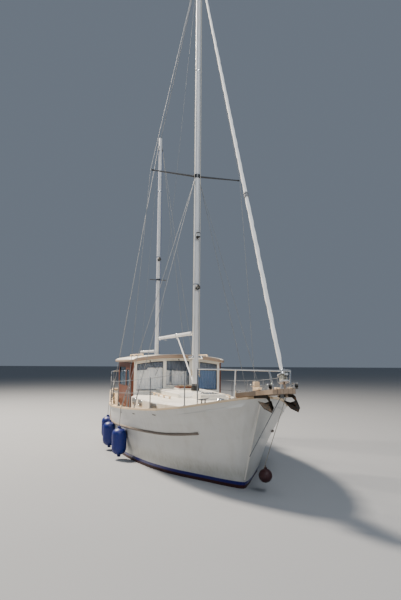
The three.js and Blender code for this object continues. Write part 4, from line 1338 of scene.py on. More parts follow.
def rim(node: str, axis: int, level: float) -> Line:
    """Give a flat pane's outline on one of its faces.

    Args:
        node: The pane's node.
        axis: The axis across the pane, 0 for X or 1 for Y.
        level: Where the face lies along that axis.

    Returns:
        The outline's points, in order round it.
    """
    points = [v.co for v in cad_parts[node].data.vertices]
    far = max(p[axis] for p in points)
    across = 1 - axis
    face = {(round(p[across], 4), round(p.z, 4)) for p in points if abs(p[axis] - far) < 1e-4}
    centre = (sum(u for u, _ in face) / len(face), sum(v for _, v in face) / len(face))
    ordered = sorted(face, key=lambda p: atan2(p[1] - centre[1], p[0] - centre[0]))
    return [Vector((level, u, v) if axis == 0 else (u, level, v)) for u, v in ordered]


def grown(outline: Line, by: float, facing: Vector) -> Line:
    """Move each side of a flat outline outward, or inward where the distance is negative.

    Args:
        outline: The outline.
        by: The distance.
        facing: The outline's own direction.

    Returns:
        The moved outline.
    """
    centre = sum(outline, Vector()) / len(outline)
    moved = []
    for n, point in enumerate(outline):
        before, after = point - outline[n - 1], outline[(n + 1) % len(outline)] - point
        first, second = facing.cross(before).normalized(), facing.cross(after).normalized()
        if first.dot(point - centre) < 0:
            first, second = -first, -second
        moved.append(point + (first + second) * by / (1 + first.dot(second)))
    return moved


@dataclass
class Fold:
    """One curtain or valance: its sides, its edges' heights and its pleats."""

    name: str
    left: float
    right: float
    top: Pair
    bottom: Pair
    x: float
    depth: float
    pitch: float
    finish: Finish
    rise: int = 26

    def build(self, rests_on: bpy.types.Object) -> None:
        """Args:
            rests_on: What it hangs from; not used.
        """
        columns = max(24, round((self.right - self.left) / self.pitch * 12))
        rows = []
        for n in range(self.rise + 1):
            down = n / self.rise
            row = []
            for k in range(columns + 1):
                share = k / columns
                y = self.left + (self.right - self.left) * share
                top = self.top[0] + (self.top[1] - self.top[0]) * share
                bottom = self.bottom[0] + (self.bottom[1] - self.bottom[0]) * share
                turn = 2 * pi * (y - self.left) / self.pitch
                sway = 0.5 * sin(turn * 0.37 + 1.3) + 0.4 * down * sin(turn * 0.21)
                wave = sin(turn + sway) * self.depth * (0.75 + 0.35 * down)
                dip = 0.006 * (1 - cos(turn)) * (1 - down)
                row.append(Vector((self.x + wave, y + 0.25 * self.depth * cos(turn * 2) * down,
                                   top - dip + (bottom - top + dip) * down)))
            rows.append(row)
        piece = Solid().sheet(rows).made(self.name, [self.finish], angle=80)
        width = max(sum((b - a).length for a, b in zip(row, row[1:])) for row in rows)
        length = max(sum((b[k] - a[k]).length for a, b in zip(rows, rows[1:])) for k in range(columns + 1))
        area = sum(face.area for face in piece.data.polygons)
        thick = piece.modifiers.new("cloth", "SOLIDIFY")
        thick.thickness = 0.0012
        thick.offset = 0
        min(area, width * length)


@dataclass
class Wheelhouse:
    """The wheelhouse's window frames, curtains, edging, rails, wipers and corner posts, and the doors' glass.
    """

    front: float = 0.1
    half: float = 1.16
    top: float = 2.085
    arch_half: float = 1.115
    arch_rise: float = 0.1
    roof_thick: float = 0.09
    roof_crown: float = 0.12
    roof_plan: tuple[Pair, ...] = ((0.19, 1.16), (0.07, 1.25), (-2.18, 1.25), (-2.27, 1.19))
    curtain_rod: float = 1.95
    rod_x: float = 0.03
    door_glass: tuple[Pair, ...] = ((-0.5695, 1.4805), (-0.1505, 1.8995))

    def build(self) -> None:
        """Dress the nodes and add the trim."""
        dress(SMOOTH_WHITE, "house_front")
        dress(BRIGHTWORK, "house_side_port", "house_side_starboard", "side_door_port", "side_door_starboard")
        dress(WHITE, "house_roof")
        panes = [f"front_window_{name}" for name in ("starboard", "centre", "port")]
        dress(FRONT_GLASS, *panes)
        dress(GLASS, "side_window_port", "side_window_starboard")
        for node in panes:
            self.front_frame(node)
        self.side_trims()
        self.door_lights()
        self.curtains()
        self.roof_edge()
        self.roof_rails()
        self.wipers()
        self.corner_posts()

    def arch(self, y: float) -> float:
        """Give the height of the roof's underside."""
        return self.top + self.arch_rise * max(0.0, 1 - (y / self.arch_half) ** 2)

    def front_frame(self, node: str) -> None:
        """Frame a front window outside, with a rubber strip against its pane.

        Args:
            node: The pane's node.
        """
        outline = rim(node, 0, self.front - 0.001)
        solid = framed(Solid(), grown(outline, 0.022, AHEAD), grown(outline, -0.01, AHEAD), AHEAD * 0.013)
        seal = [p - AHEAD * 0.0145 for p in outline]
        framed(solid, grown(seal, -0.001, AHEAD), grown(seal, -0.017, AHEAD), AHEAD * 0.01, 1)
        solid.made(f"{node}_frame", [SMOOTH_WHITE, BLACK], bevel=0.003)

    def side_trims(self) -> None:
        """Bead the side windows inside their openings, with a bar at the middle of each."""
        for name, side in SIDES:
            out = PORT * side
            depth = self.half - 0.0155
            outline = rim(f"side_window_{name}", 1, side * depth)
            solid = Solid()
            for start in (outline, [p - out * 0.0215 for p in outline]):
                framed(solid, grown(start, -0.0005, out), grown(start, -0.018, out), out * 0.013)
            low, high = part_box(f"side_window_{name}")
            x = (low.x + high.x) / 2
            near, far = sorted((side * depth, side * (depth + 0.0115)))
            solid.box((x - 0.014, near, low.z + 0.01), (x + 0.014, far, high.z - 0.01), 1)
            solid.made(f"side_window_trim_{name}", [BLACK, STAINLESS], bevel=0.002)

    def door_lights(self) -> None:
        """Glaze the doors, bead the panes and give each door its pull."""
        for name, side in SIDES:
            body, out = f"{name}_door", PORT * side
            y = side * (self.half + 0.018)
            (aft, low), (fore, high) = self.door_glass
            pane = Solid().box((aft, y - 0.003, low), (fore, y + 0.003, high))
            pane.made(f"door_pane_{name}", [GLASS], body, 0.001)
            corners = [Vector((x, y, z)) for x, z in ((aft, low), (fore, low), (fore, high), (aft, high))]
            trim = Solid()
            for way in (out, -out):
                ring = [p + way * 0.0035 for p in corners]
                framed(trim, grown(ring, -0.0003, out), grown(ring, -0.016, out), way * 0.009)
            trim.made(f"door_beads_{name}", [BLACK], body, 0.002)
            face = self.half + 0.033
            near, far = sorted((side * (face - 0.001), side * (face + 0.003)))
            pull = Solid().box((-0.115, near, 1.30), (-0.065, far, 1.48))
            grip = ((0.001, 1.32), (0.017, 1.325), (0.02, 1.345), (0.02, 1.435), (0.017, 1.455),
                    (0.001, 1.46))
            pull.tube(curve([(-0.09, side * (face + reach), z) for reach, z in grip], 4), 0.006, 10)
            pull.made(f"door_pull_{name}", [STAINLESS], body, 0.001)

    def curtains(self) -> None:
        """Hang the curtains from their rod, the port one's blue a painted sky reflection, and the dark
        valance in front of them, a sheet of painted shade under the roof.
        """
        x, z = self.rod_x, self.curtain_rod
        rail = Solid().rod((x, -1.1, z), (x, 1.1, z), 0.006)
        for y in (-1.08, -0.34, 0.34, 1.08):
            rail.rod((x, y, z), (0.0605, y, z), 0.005, sides=10)
            rail.turned([(0, 0.014), (0.004, 0.013), (0.004, 0)], (0.0602, y, z), (-1, 0, 0), 14)
        rod = rail.made("curtain_rod", [STAINLESS])
        top = z + 0.006
        # The port curtain is blue as a painted sky reflection in its window.
        for name, left, right, bottom, finish in (
            ("starboard", -1.06, -0.36, 1.405, CURTAIN), ("centre_left", -0.31, -0.2, 1.52, CURTAIN),
            ("centre", -0.14, 0.24, 1.52, CURTAIN), ("port", 0.44, 1.05, 1.405, SKY_REFLECTION_CURTAIN),
        ):
            low = (bottom, bottom)
            Fold(f"curtain_{name}", left, right, (top, top), low, x, 0.009, 0.075, finish).build(rod)
        section = ((0.034, 0), (0.034, 0.02), (0.059, 0.02), (0.059, 0))
        ys = [-1.1 + 2.2 * n / 30 for n in range(31)]
        rings = [[Vector((along, y, self.arch(y) - 0.0005 - drop)) for along, drop in section] for y in ys]
        head = Solid().rings(rings).made("valance_batten", [BRIGHT_TRIM], bevel=0.002)
        # The dark valance paints the shade under the roof's overhang across the windows' tops.
        for name, left, right, low, high in (
            ("starboard_outer", -1.1, -0.78, 1.875, 1.9), ("starboard", -0.78, -0.35, 1.955, 1.97),
            ("centre", -0.35, 0.35, 1.9, 1.86), ("port", 0.35, 1.1, 1.9, 1.875),
        ):
            tops = (self.arch(left) - 0.012, self.arch(right) - 0.012)
            Fold(f"valance_{name}", left, right, tops, (low, high), 0.048, 0.005, 0.09, SHADE_VALANCE_CLOTH, 10).build(head)

    def roof_edge(self) -> None:
        """Run the wooden edging round the roof, along its arch in front and aft; its tone is darkened as
        painted shade.
        """
        (front, half), *_, (aft, aft_half) = self.roof_plan
        plan = [(front, half - 2 * half * n / 32) for n in range(33)]
        plan += [(x, -y) for x, y in self.roof_plan[1:3]]
        plan += [(aft, -aft_half + 2 * aft_half * n / 32) for n in range(33)]
        plan += [(x, y) for x, y in self.roof_plan[2:0:-1]]
        rings = []
        for n, (x, y) in enumerate(plan):
            before, after = plan[n - 1], plan[(n + 1) % len(plan)]
            way = Vector((after[0] - before[0], after[1] - before[1], 0)).normalized()
            out = Vector((way.y, -way.x, 0))
            if out.dot(Vector((x + 1.04, y, 0))) < 0:
                out = -out
            share = min(1.0, abs(y) / (half if x == front else aft_half if x == aft else abs(y)))
            low = self.arch(y)
            high = self.top + self.roof_thick + self.roof_crown * (1 - share ** 2)
            high -= 0.44 * max(0, share - 0.95)
            middle_z, reach = (low + high) / 2, (high - low) / 2 * 0.86
            section = ((-0.004, -1), (0.006, -1), (0.011, -0.8), (0.013, 0), (0.011, 0.8), (0.006, 1),
                       (-0.004, 1))
            rings.append([Vector((x, y, middle_z + reach * v)) + out * u for u, v in section])
        Solid().rings(rings, loop=True).made("roof_edging", [SHADE_TONED_EDGING], angle=50)

    def roof_rails(self) -> None:
        """Run two wooden handrails along the roof."""
        skin = Surface("house_roof")
        for name, side in SIDES:
            rail = handrail(skin, [(-0.15 - 0.1 * n, side * 0.86) for n in range(19)], 0.052)
            rail.made(f"roof_handrail_{name}", [TEAK], bevel=0.004)

    def wipers(self) -> None:
        """Park a wiper on two of the front panes."""
        for name, y in (("starboard", -0.72), ("centre", 0.02)):
            base = Vector((self.front, y, self.arch(y) - 0.028))
            solid = Solid()
            solid.turned([(0, 0.018), (0.016, 0.016), (0.02, 0.01), (0.024, 0.008), (0.024, 0)], base, AHEAD,
                         16)
            tip = Vector((self.front - 0.007, y + 0.19, base.z - 0.24))
            blade = Vector((0, 0.05, 0.12))
            solid.rod(base + AHEAD * 0.019, tip, 0.0045, 0.003, 8)
            solid.tube([tip + blade, tip - AHEAD * 0.001, tip - blade], 0.004, 8)
            solid.made(f"wiper_{name}", [BLACK])

    def corner_posts(self) -> None:
        """Cover the wheelhouse's front corners with quarter-round posts."""
        for name, side in SIDES:
            low, x, y = 1.29, self.front - 0.001, side * (self.half - 0.002)
            arc = [(x + 0.014 * cos(a), y + side * (0.032 * sin(a) - 0.03)) for a in angles(24, 7)]
            outline = [(u, v, low) for u, v in ((x, y), *arc, (x, y - side * 0.03))]
            solid = Solid().prism(outline, (0, 0, self.top - low - 0.002))
            solid.made(f"corner_post_{name}", [BRIGHT_TRIM], bevel=0.002)


# Furnishings


@dataclass
class Furnishings:
    """The helm seat and the settee with their cushions, and the helm's instruments."""

    helm_y: float = -0.48
    settee_low: Point = (-1.88, 0.38, 0.4)
    settee_high: Point = (-0.62, 1.07, 1.18)
    voxel: float = 0.012
    cap: float = 0.016
    console_top: float = 1.3295

    def build(self) -> None:
        """Dress the console and the wheel, and build the seats."""
        dress(BRIGHTWORK, "helm_console")
        dress(BRIGHT_TRIM, "steering_wheel")
        self.helm_seat()
        self.settee()
        self.instruments()
        self.throttle()

    def cushion(self, name: str, low: Point, high: Point, finish: Finish) -> bpy.types.Object:
        """Stuff one cushion, within a box, and pipe its seam.

        Args:
            name: The piece's name.
            low: The lowest corner of the space that it may fill.
            high: The highest corner.
            finish: Its cover.

        Returns:
            The cushion.
        """
        low, high = Vector(low), Vector(high)
        inset = (AHEAD + PORT + UP) * self.voxel
        start = Solid().box(low + inset, high - inset).made(name + "_start", [finish], bevel=0.022)
        remesh = start.modifiers.new("even", "REMESH")
        remesh.mode = "VOXEL"
        remesh.voxel_size = self.voxel
        cloth = self.settled(start)
        before = [v.co.copy() for v in cloth.vertices]
        cloth = self.inflated(start, cloth)
        for rest, vertex in zip(before, cloth.vertices):
            move = vertex.co - rest
            if move.length > self.cap:
                move *= self.cap / move.length
            vertex.co = Vector(max(a + 0.0008, min(b - 0.0008, c)) for a, b, c in zip(low, high, rest + move))
        bpy.data.objects.remove(start)
        piece = linked(name, cloth)
        cloth.materials.clear()
        cloth.materials.append(finish.material())
        cloth.polygons.foreach_set("use_smooth", [True] * len(cloth.polygons))
        smooth = piece.modifiers.new("smooth", "SUBSURF")
        smooth.levels = smooth.render_levels = 1
        keep(piece, "boat")
        self.piping(name, cloth, middle(low, high), high - low)
        return piece

    def settled(self, piece: bpy.types.Object) -> bpy.types.Mesh:
        """Give the mesh that a piece's modifiers make."""
        bpy.context.view_layer.update()
        return bpy.data.meshes.new_from_object(piece.evaluated_get(bpy.context.evaluated_depsgraph_get()))

    def inflated(self, piece: bpy.types.Object, mesh: bpy.types.Mesh) -> bpy.types.Mesh:
        """Swell a closed mesh with the cloth simulation, without gravity.

        Args:
            piece: The piece that it is swollen for.
            mesh: The mesh.

        Returns:
            The swollen mesh.
        """
        pad = linked(piece.name + "_cloth", mesh)
        scene = bpy.context.scene
        cloth = pad.modifiers.new("cloth", "CLOTH")
        cloth.settings.use_pressure = True
        cloth.settings.uniform_pressure_force = 4
        cloth.settings.effector_weights.gravity = 0
        cloth.settings.quality = 5
        cloth.point_cache.frame_end = 20
        for moment in range(1, 21):
            scene.frame_set(moment)
        swollen = self.settled(pad)
        scene.frame_set(1)
        bpy.data.objects.remove(pad)
        return swollen

    def piping(self, name: str, mesh: bpy.types.Mesh, centre: Vector, size: Vector) -> None:
        """Sew a cord of cover cloth round a cushion's edge, above and below its middle.

        Args:
            name: The cushion's name.
            mesh: Its mesh.
            centre: Its middle.
            size: Its size.
        """
        tree = BVHTree.FromPolygons([v.co for v in mesh.vertices], [p.vertices for p in mesh.polygons])
        thin = min(range(3), key=lambda n: size[n])
        first, second = (n for n in range(3) if n != thin)
        solid = Solid()
        for level in (-0.27, 0.27):
            start = centre.copy()
            start[thin] += size[thin] * level
            line = []
            for a in angles(72):
                way = Vector()
                way[first], way[second] = cos(a) * size[first], sin(a) * size[second]
                way.normalize()
                line.append(tree.ray_cast(start, way)[0] - way * 0.001)
            solid.tube(line, 0.0035, 6, True)
        solid.made(name + "_piping", [PIPING])

    def helm_seat(self) -> None:
        """Build the helm seat: its pedestal, pan and back frame, and two cushions."""
        solid = Solid()
        foot = Vector((-1.0, self.helm_y, 0.4003))
        solid.turned([(0, 0.19), (0.008, 0.19), (0.014, 0.18), (0.022, 0.09), (0.05, 0.062), (0.3, 0.056),
                      (0.31, 0.05), (0.5, 0.048), (0.51, 0.075), (0.536, 0.08), (0.54, 0)], foot, sides=32)
        for bolt in circle(foot, AHEAD * 0.155, PORT * 0.155, 6):
            solid.turned([(0.006, 0.011), (0.016, 0.011), (0.016, 0)], bolt, sides=6)
        solid.rod(foot + Vector((0, 0.05, 0.34)), foot + Vector((0, 0.13, 0.35)), 0.008)
        solid.turned([(0, 0.014), (0.03, 0.016), (0.034, 0)], foot + Vector((0, 0.125, 0.35)), PORT, 14)
        pedestal = solid.made("helm_seat_pedestal", [STAINLESS], bevel=0.002)
        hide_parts("helm_seat")
        pan = Solid().box((-1.225, self.helm_y - 0.215, 0.9405), (-0.81, self.helm_y + 0.215, 0.958))
        pan.prism(oblong((-1.256, self.helm_y, 1.21), PORT, UP, 0.4, 0.52, 0.16), (0.01, 0, 0))
        pan.made("helm_seat_shell", [SMOOTH_WHITE], bevel=0.005)
        left, right = self.helm_y - 0.23, self.helm_y + 0.23
        self.cushion("helm_seat_pad", (-1.19, left, 0.957), (-0.79, right, 1.049), SEAT)
        self.cushion("helm_seat_back", (-1.246, left, 1.06), (-1.185, right, 1.5), SEAT)

    def settee(self) -> None:
        """Build the settee: its locker with two doors, and four cushions."""
        low, high = Vector(self.settee_low), Vector(self.settee_high)
        plinth, board = low.z + 0.06, 0.745
        solid = Solid().box((low.x, low.y + 0.03, low.z + 0.0005), (high.x, high.y, plinth))
        solid.box((low.x, low.y, plinth), (high.x, high.y, board))
        solid.box((low.x, high.y - 0.014, board), (high.x, high.y, high.z))
        locker = solid.made("settee_locker", [BRIGHTWORK], bevel=0.004)
        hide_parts("settee")
        doors = Solid()
        foot, head, width = 0.5, 0.71, 0.55
        for left in (low.x + 0.05, low.x + 0.65):
            right = left + width
            doors.box((left, low.y, foot), (right, low.y + 0.01, head))
            corners = ((left, foot), (right, foot), (right, head), (left, head))
            outline = [Vector((x, low.y, z)) for x, z in corners]
            framed(doors, outline, grown(outline, -0.035, PORT), PORT * -0.008)
            doors.turned([(0, 0.013), (0.004, 0.013), (0.01, 0.006), (0.02, 0.011), (0.024, 0)],
                         (left + width / 2, low.y - 0.006, 0.69), (0, -1, 0), 16, 1)
        doors.made("settee_doors", [BRIGHT_TRIM, BRONZE], bevel=0.002)
        half = (low.x + high.x) / 2
        for n, (start, end) in enumerate(((low.x, half - 0.001), (half + 0.001, high.x))):
            seat = (start, low.y, board + 0.0005)
            self.cushion(f"settee_seat_{n + 1}", seat, (end, high.y - 0.11, 0.85), SEAT)
            back = (end, high.y - 0.0145, high.z)
            self.cushion(f"settee_back_{n + 1}", (start, high.y - 0.112, 0.845), back, SEAT)

    def instruments(self) -> None:
        """Set the gauges, the compass and the switches on the console."""
        slope, up = Vector((-0.906, 0, 0.423)), Vector((0.423, 0, 0.906))
        gauges = Solid()
        for y, r in ((-0.83, 0.036), (-0.73, 0.036), (-0.27, 0.03), (-0.19, 0.03), (-0.11, 0.03)):
            base = Vector((-0.262, y, 1.261))
            rim_form = [(-0.003, r + 0.007), (0.005, r + 0.007), (0.009, r), (0.004, r - 0.002)]
            gauges.turned(rim_form, base, slope, 28)
            gauges.turned([(0.001, r - 0.001), (0.004, r - 0.001), (0.004, 0)], base, slope, 28, 1)
            hand = base + slope * 0.0055
            gauges.rod(hand, hand + Quaternion(slope, 40 * y) @ up * (r * 0.75), 0.0012, 0.0006, 6, 2)
            face = base + slope * 0.0045
            for k in range(9):
                mark = Quaternion(slope, radians(-120 + 30 * k)) @ up * r
                gauges.rod(face + mark * 0.8, face + mark * 0.92, 0.001, sides=4, skin=2)
        gauges.made("gauges", [STAINLESS, DIAL, SMOOTH_WHITE])
        compass = Solid()
        base = Vector((-0.13, self.helm_y, 1.33))
        compass.turned([(-0.001, 0.075), (0.01, 0.075), (0.03, 0.066), (0.045, 0.062)], base, sides=32)
        compass.turned([(0.03, 0.058), (0.05, 0.056), (0.075, 0.045), (0.092, 0.025), (0.098, 0)], base,
                       sides=32, skin=1)
        compass.made("compass", [BLACK, SMOKED])
        switches = Solid().box((-0.16, -0.88, self.console_top), (-0.06, -0.70, self.console_top + 0.0065))
        for n in range(6):
            y = -0.86 + n * 0.028
            switches.box((-0.14, y - 0.008, 1.335), (-0.115, y + 0.008, 1.342), 1)
            switches.turned([(0.005, 0.004), (0.009, 0.003), (0.009, 0)], (-0.085, y, 1.33), sides=8, skin=2)
        switches.made("switch_panel", [STAINLESS, BLACK, RED_LENS], bevel=0.001)

    def throttle(self) -> None:
        """Stand the engine control on the console."""
        solid = Solid().box((-0.19, -0.2, self.console_top), (-0.07, -0.14, 1.37))
        for y, lean in ((-0.207, 0.05), (-0.133, 0.02)):
            solid.turned([(0, 0.018), (0.012, 0.018)], (-0.13, y - 0.006, 1.35), PORT, 16)
            solid.rod((-0.13, y, 1.35), (-0.13 - lean, y, 1.44), 0.005)
            solid.turned([(-0.012, 0.004), (-0.008, 0.011), (0.006, 0.012), (0.013, 0)],
                         (-0.13 - lean, y, 1.445), (-lean, 0, 0.09), 14, 1)
        solid.made("engine_control", [STAINLESS, BALL_RED], bevel=0.002)


# Rig


@dataclass
class Rig:
    """The masts' tracks, lamps, winches and lines, the booms' fittings and the rolled headsail."""

    goose: float = 0.13
    stay_foot: Point = (6.02, 0.0, 1.7)
    stay_head: Point = (1.715, 0.0, 11.79)
    roll: tuple[Pair, ...] = ((0.33, 0.022), (0.48, 0.031), (1.6, 0.035), (4.0, 0.032),
                                             (7.5, 0.028), (10.2, 0.021), (10.45, 0.016))
    tie: float = 3.565
    wraps: float = 0.62

    def build(self) -> None:
        """Dress the nodes and add the fittings."""
        dress(SPAR, "main_mast", "mizzen_mast", "main_boom", "mizzen_boom", "main_vang")
        dress(DARK_SPAR, "main_spreaders", "mizzen_crosstree")
        dress(RIGGING, "triatic_stay")
        dress(STAINLESS, "masthead", "main_gooseneck", "mizzen_gooseneck")
        for side, _ in SIDES:
            dress(RIGGING, f"cap_shroud_{side}", f"lower_shrouds_{side}", f"mizzen_shrouds_{side}",
                  f"lifelines_{side}")
        dress(SPAR, "furler_drum")
        self.tracks()
        self.lamps()
        self.winches()
        self.halyards()
        self.tip_boots()
        self.booms()
        self.topping_lifts()
        self.headsail()
        self.drum_rope()

    def tracks(self) -> None:
        """Run a sail track up the aft face of each mast, broken at its collars."""
        spans = ((MAIN, ((2.84, 6.4), (6.5, 11.55))), (MIZZEN, ((2.5, 4.57), (4.63, 8.95))))
        for spar, stretches in spans:
            solid = Solid()
            for low, high in stretches:
                for half, start, end in ((0.012, -0.002, 0.006), (0.017, 0.006, 0.01)):
                    section = ((start, -half), (end, -half), (end, half), (start, half))
                    solid.rings([[Vector((spar.x - spar.radius(z) - reach, y, z)) for reach, y in section]
                                 for z in (low, high)])
            solid.made(f"{spar.node}_track", [STAINLESS])

    def lamps(self) -> None:
        """Set the steaming lamp and the deck floodlights on the masts' front faces, and bands above them."""
        place = self.face(MAIN, 5.01)
        x, z = place.x, place.z
        solid = Solid().box((x - 0.004, -0.02, z - 0.075), (x + 0.012, 0.02, z + 0.075))
        centre = place + AHEAD * 0.056
        solid.turned([(-0.062, 0.02), (-0.058, 0.05), (-0.036, 0.052), (-0.034, 0.04)], centre, sides=24)
        solid.turned([(0.034, 0.04), (0.036, 0.052), (0.052, 0.05), (0.064, 0.02)], centre, sides=24)
        solid.turned([(-0.035, 0.043), (0.035, 0.043)], centre, sides=24, skin=1)
        solid.made("steaming_lamp", [BLACK, CLEAR_LENS], bevel=0.002)
        for spar, z, name in ((MAIN, 3.8, "main"), (MIZZEN, 5.24, "mizzen")):
            place = self.face(spar, z)
            shade, lean = place + Vector((0.062, 0, -0.01)), (0.55, 0, -0.83)
            lamp = Solid().box((place.x - 0.004, -0.022, z - 0.03), (place.x + 0.03, 0.022, z + 0.03))
            lamp.turned([(-0.05, 0.03), (-0.04, 0.045), (0.02, 0.058), (0.026, 0.058), (0.026, 0.05),
                         (0.01, 0.046)], shade, lean, 24)
            lamp.turned([(0.008, 0.047), (0.014, 0.046), (0.014, 0)], shade, lean, 24, 1)
            lamp.made(f"{name}_floodlight", [BLACK, SMOKED], bevel=0.002)
        band = Solid()
        for spar, z in ((MAIN, 3.86), (MAIN, 9.1), (MIZZEN, 5.3), (MIZZEN, 7.4)):
            r = spar.radius(z)
            profile = [(0, r), (0.001, r + 0.003), (0.024, r + 0.003), (0.025, r)]
            band.turned(profile, (spar.x, 0, z), sides=24)
        band.made("mast_bands", [STAINLESS])

    def face(self, spar: Spar, z: float) -> Vector:
        """Give the foremost point of a mast at some height."""
        return Vector((spar.x + spar.radius(z), 0, z))

    def winches(self) -> None:
        """Bolt the halyard winches and horn cleats to the masts."""
        for spar, z in ((MAIN, 2.2), (MIZZEN, 1.9)):
            for name, side in SIDES:
                base = Vector((spar.x + 0.01, side * (spar.radius(z) - 0.012), z))
                winch = Solid().turned([(0, 0.05), (0.018, 0.05), (0.022, 0.042), (0.03, 0.034), (0.07, 0.03),
                                        (0.088, 0.036), (0.1, 0.042), (0.106, 0.04), (0.108, 0.02),
                                        (0.1, 0.012), (0.1, 0)], base, (0, side, 0), 28)
                winch.made(f"{spar.node}_winch_{name}", [STAINLESS])
                low = z - 0.35
                foot = Vector((spar.x + 0.01, side * (spar.radius(low) - 0.003), low))
                cleat = Solid()
                for rise in (-0.025, 0.025):
                    cleat.rod(foot + UP * rise, foot + Vector((0, side * 0.03, rise)), 0.008)
                horn = ((0.038, -0.085), (0.032, -0.04), (0.032, 0.04), (0.038, 0.085))
                cleat.tube([foot + Vector((0, side * reach, rise)) for reach, rise in horn], 0.008, 10)
                cleat.made(f"{spar.node}_cleat_{name}", [BRONZE])

    def halyards(self) -> None:
        """Run taut halyards down the masts' faces to their cleats."""
        for spar, z, finish in ((MAIN, 1.9, ROPE), (MIZZEN, 1.6, BLUE_ROPE)):
            for name, side in SIDES:
                top = spar.head - 0.42
                line = [Vector((spar.x + 0.036, side * (spar.radius(top) + 0.009), top)),
                        Vector((spar.x + 0.036, side * (spar.radius(3.0) + 0.009), 3.0)),
                        Vector((spar.x + 0.012, side * (spar.radius(z) + 0.022), z))]
                solid = Solid().tube(line, 0.005, 8)
                solid.turned([(-0.016, 0.012), (-0.008, 0.016), (0.008, 0.016), (0.016, 0.012)],
                             line[0] - PORT * (side * 0.004), (0, side, 0), 16, 1)
                coil = [line[-1] + Vector((0.006 * cos(a), side * (0.001 + 0.004 * cos(a * 2)),
                                           -0.05 + 0.052 * sin(a))) for a in angles(12, 49)]
                solid.tube(coil, 0.0045, 8)
                solid.made(f"{spar.node}_halyard_{name}", [finish, BLACK])

    def tip_boots(self) -> None:
        """Cap the spreaders' tips."""
        for name, side in SIDES:
            way = Vector((-0.04, side * 1.02, 0.045)).normalized()
            base = Vector((1.58, side * 1.092, 6.495)) - way * 0.05
            boot = Solid().turned([(0, 0.0165), (0.002, 0.0195), (0.03, 0.021), (0.038, 0.018),
                                   (0.0395, 0.012)], base, way, 18)
            boot.made(f"spreader_boot_{name}", [BLACK])

    def booms(self) -> None:
        """Fit each boom with its end caps, sail track, bails and outhaul line."""
        for node, spar, z, end, rise, r in (("main_boom", MAIN, 2.76, -2.05, 0.03, 0.045),
                                            ("mizzen_boom", MIZZEN, 2.42, -4.9, 0.02, 0.038)):
            start = Vector((spar.x - self.goose - 0.07, 0, z))
            tip = Vector((end, 0, z + rise))
            way, length = (tip - start).normalized(), (tip - start).length
            solid = Solid()
            solid.turned([(-0.006, 0.02), (-0.004, r + 0.004), (0.05, r + 0.004), (0.052, r)], start, way, 24)
            cap = r * 0.9 + 0.004
            solid.turned([(-0.06, r * 0.91), (-0.058, cap), (-0.002, cap), (0, 0.02)], tip, way, 24)
            for share in (0.42, 0.78):
                place, radius = start + way * length * share, r * (1 - 0.1 * share)
                solid.turned([(-0.016, radius), (-0.015, radius + 0.003), (0.015, radius + 0.003),
                              (0.016, radius)], place, way, 24)
                bail = [place + Vector((0, cos(a) * 0.022, -radius - 0.004 - 0.034 * sin(a)))
                        for a in angles(16, 9)]
                solid.tube(bail, 0.005, 8)
            solid.turned([(-0.012, 0.024), (-0.006, 0.02), (0.006, 0.02), (0.012, 0.024)],
                         tip + way * -0.03 - UP * r, PORT, 18)
            solid.made(f"{node}_fittings", [STAINLESS], node, 0.001)
            section = ((-0.012, 0), (-0.012, 0.01), (0.012, 0.01), (0.012, 0))
            rings = [[start + way * length * share + Vector((0, y, r * (1 - 0.1 * share) - 0.002 + up))
                      for y, up in section] for share in (0.06, 0.94)]
            Solid().rings(rings).made(f"{node}_track", [STAINLESS], node, 0.001)
            path = [tip + Vector((0.06, 0, -r * 0.9 - 0.012)), start + way * length * 0.5 - UP * (r + 0.012),
                    start + way * 0.35 - UP * (r + 0.009)]
            Solid().tube(path, 0.004, 8).made(f"{node}_outhaul", [BLUE_ROPE], node)

    def topping_lifts(self) -> None:
        """Hold up each boom's end from its masthead, on the line that the boom turns about."""
        aft = MIZZEN.x - 0.15
        crane = Solid().prism([(aft, -0.01, 9.02), (aft, -0.01, 9.05), (MIZZEN.x, -0.01, 9.09),
                               (MIZZEN.x, -0.01, 8.98)], (0, 0.02, 0))
        crane.made("mizzen_lift_crane", [STAINLESS], bevel=0.002)
        for node, spar, top, end, z in (("main_boom", MAIN, 11.716, -2.05, 2.79 + 0.04),
                                        ("mizzen_boom", MIZZEN, 9.018, -4.9, 2.44 + 0.034)):
            start = Vector((end + 0.03, 0, z))
            head = Vector((spar.x - self.goose, 0, top))
            way = (head - start).normalized()
            solid = Solid().rod(start, head, 0.003, sides=8)
            solid.rod(start + way * 0.03, start + way * 0.16, 0.007, sides=10)
            solid.turned([(-0.01, 0.005), (-0.008, 0.013), (0.008, 0.013), (0.01, 0.005)], start, PORT, 14)
            solid.made(f"{node}_topping_lift", [RIGGING], node)

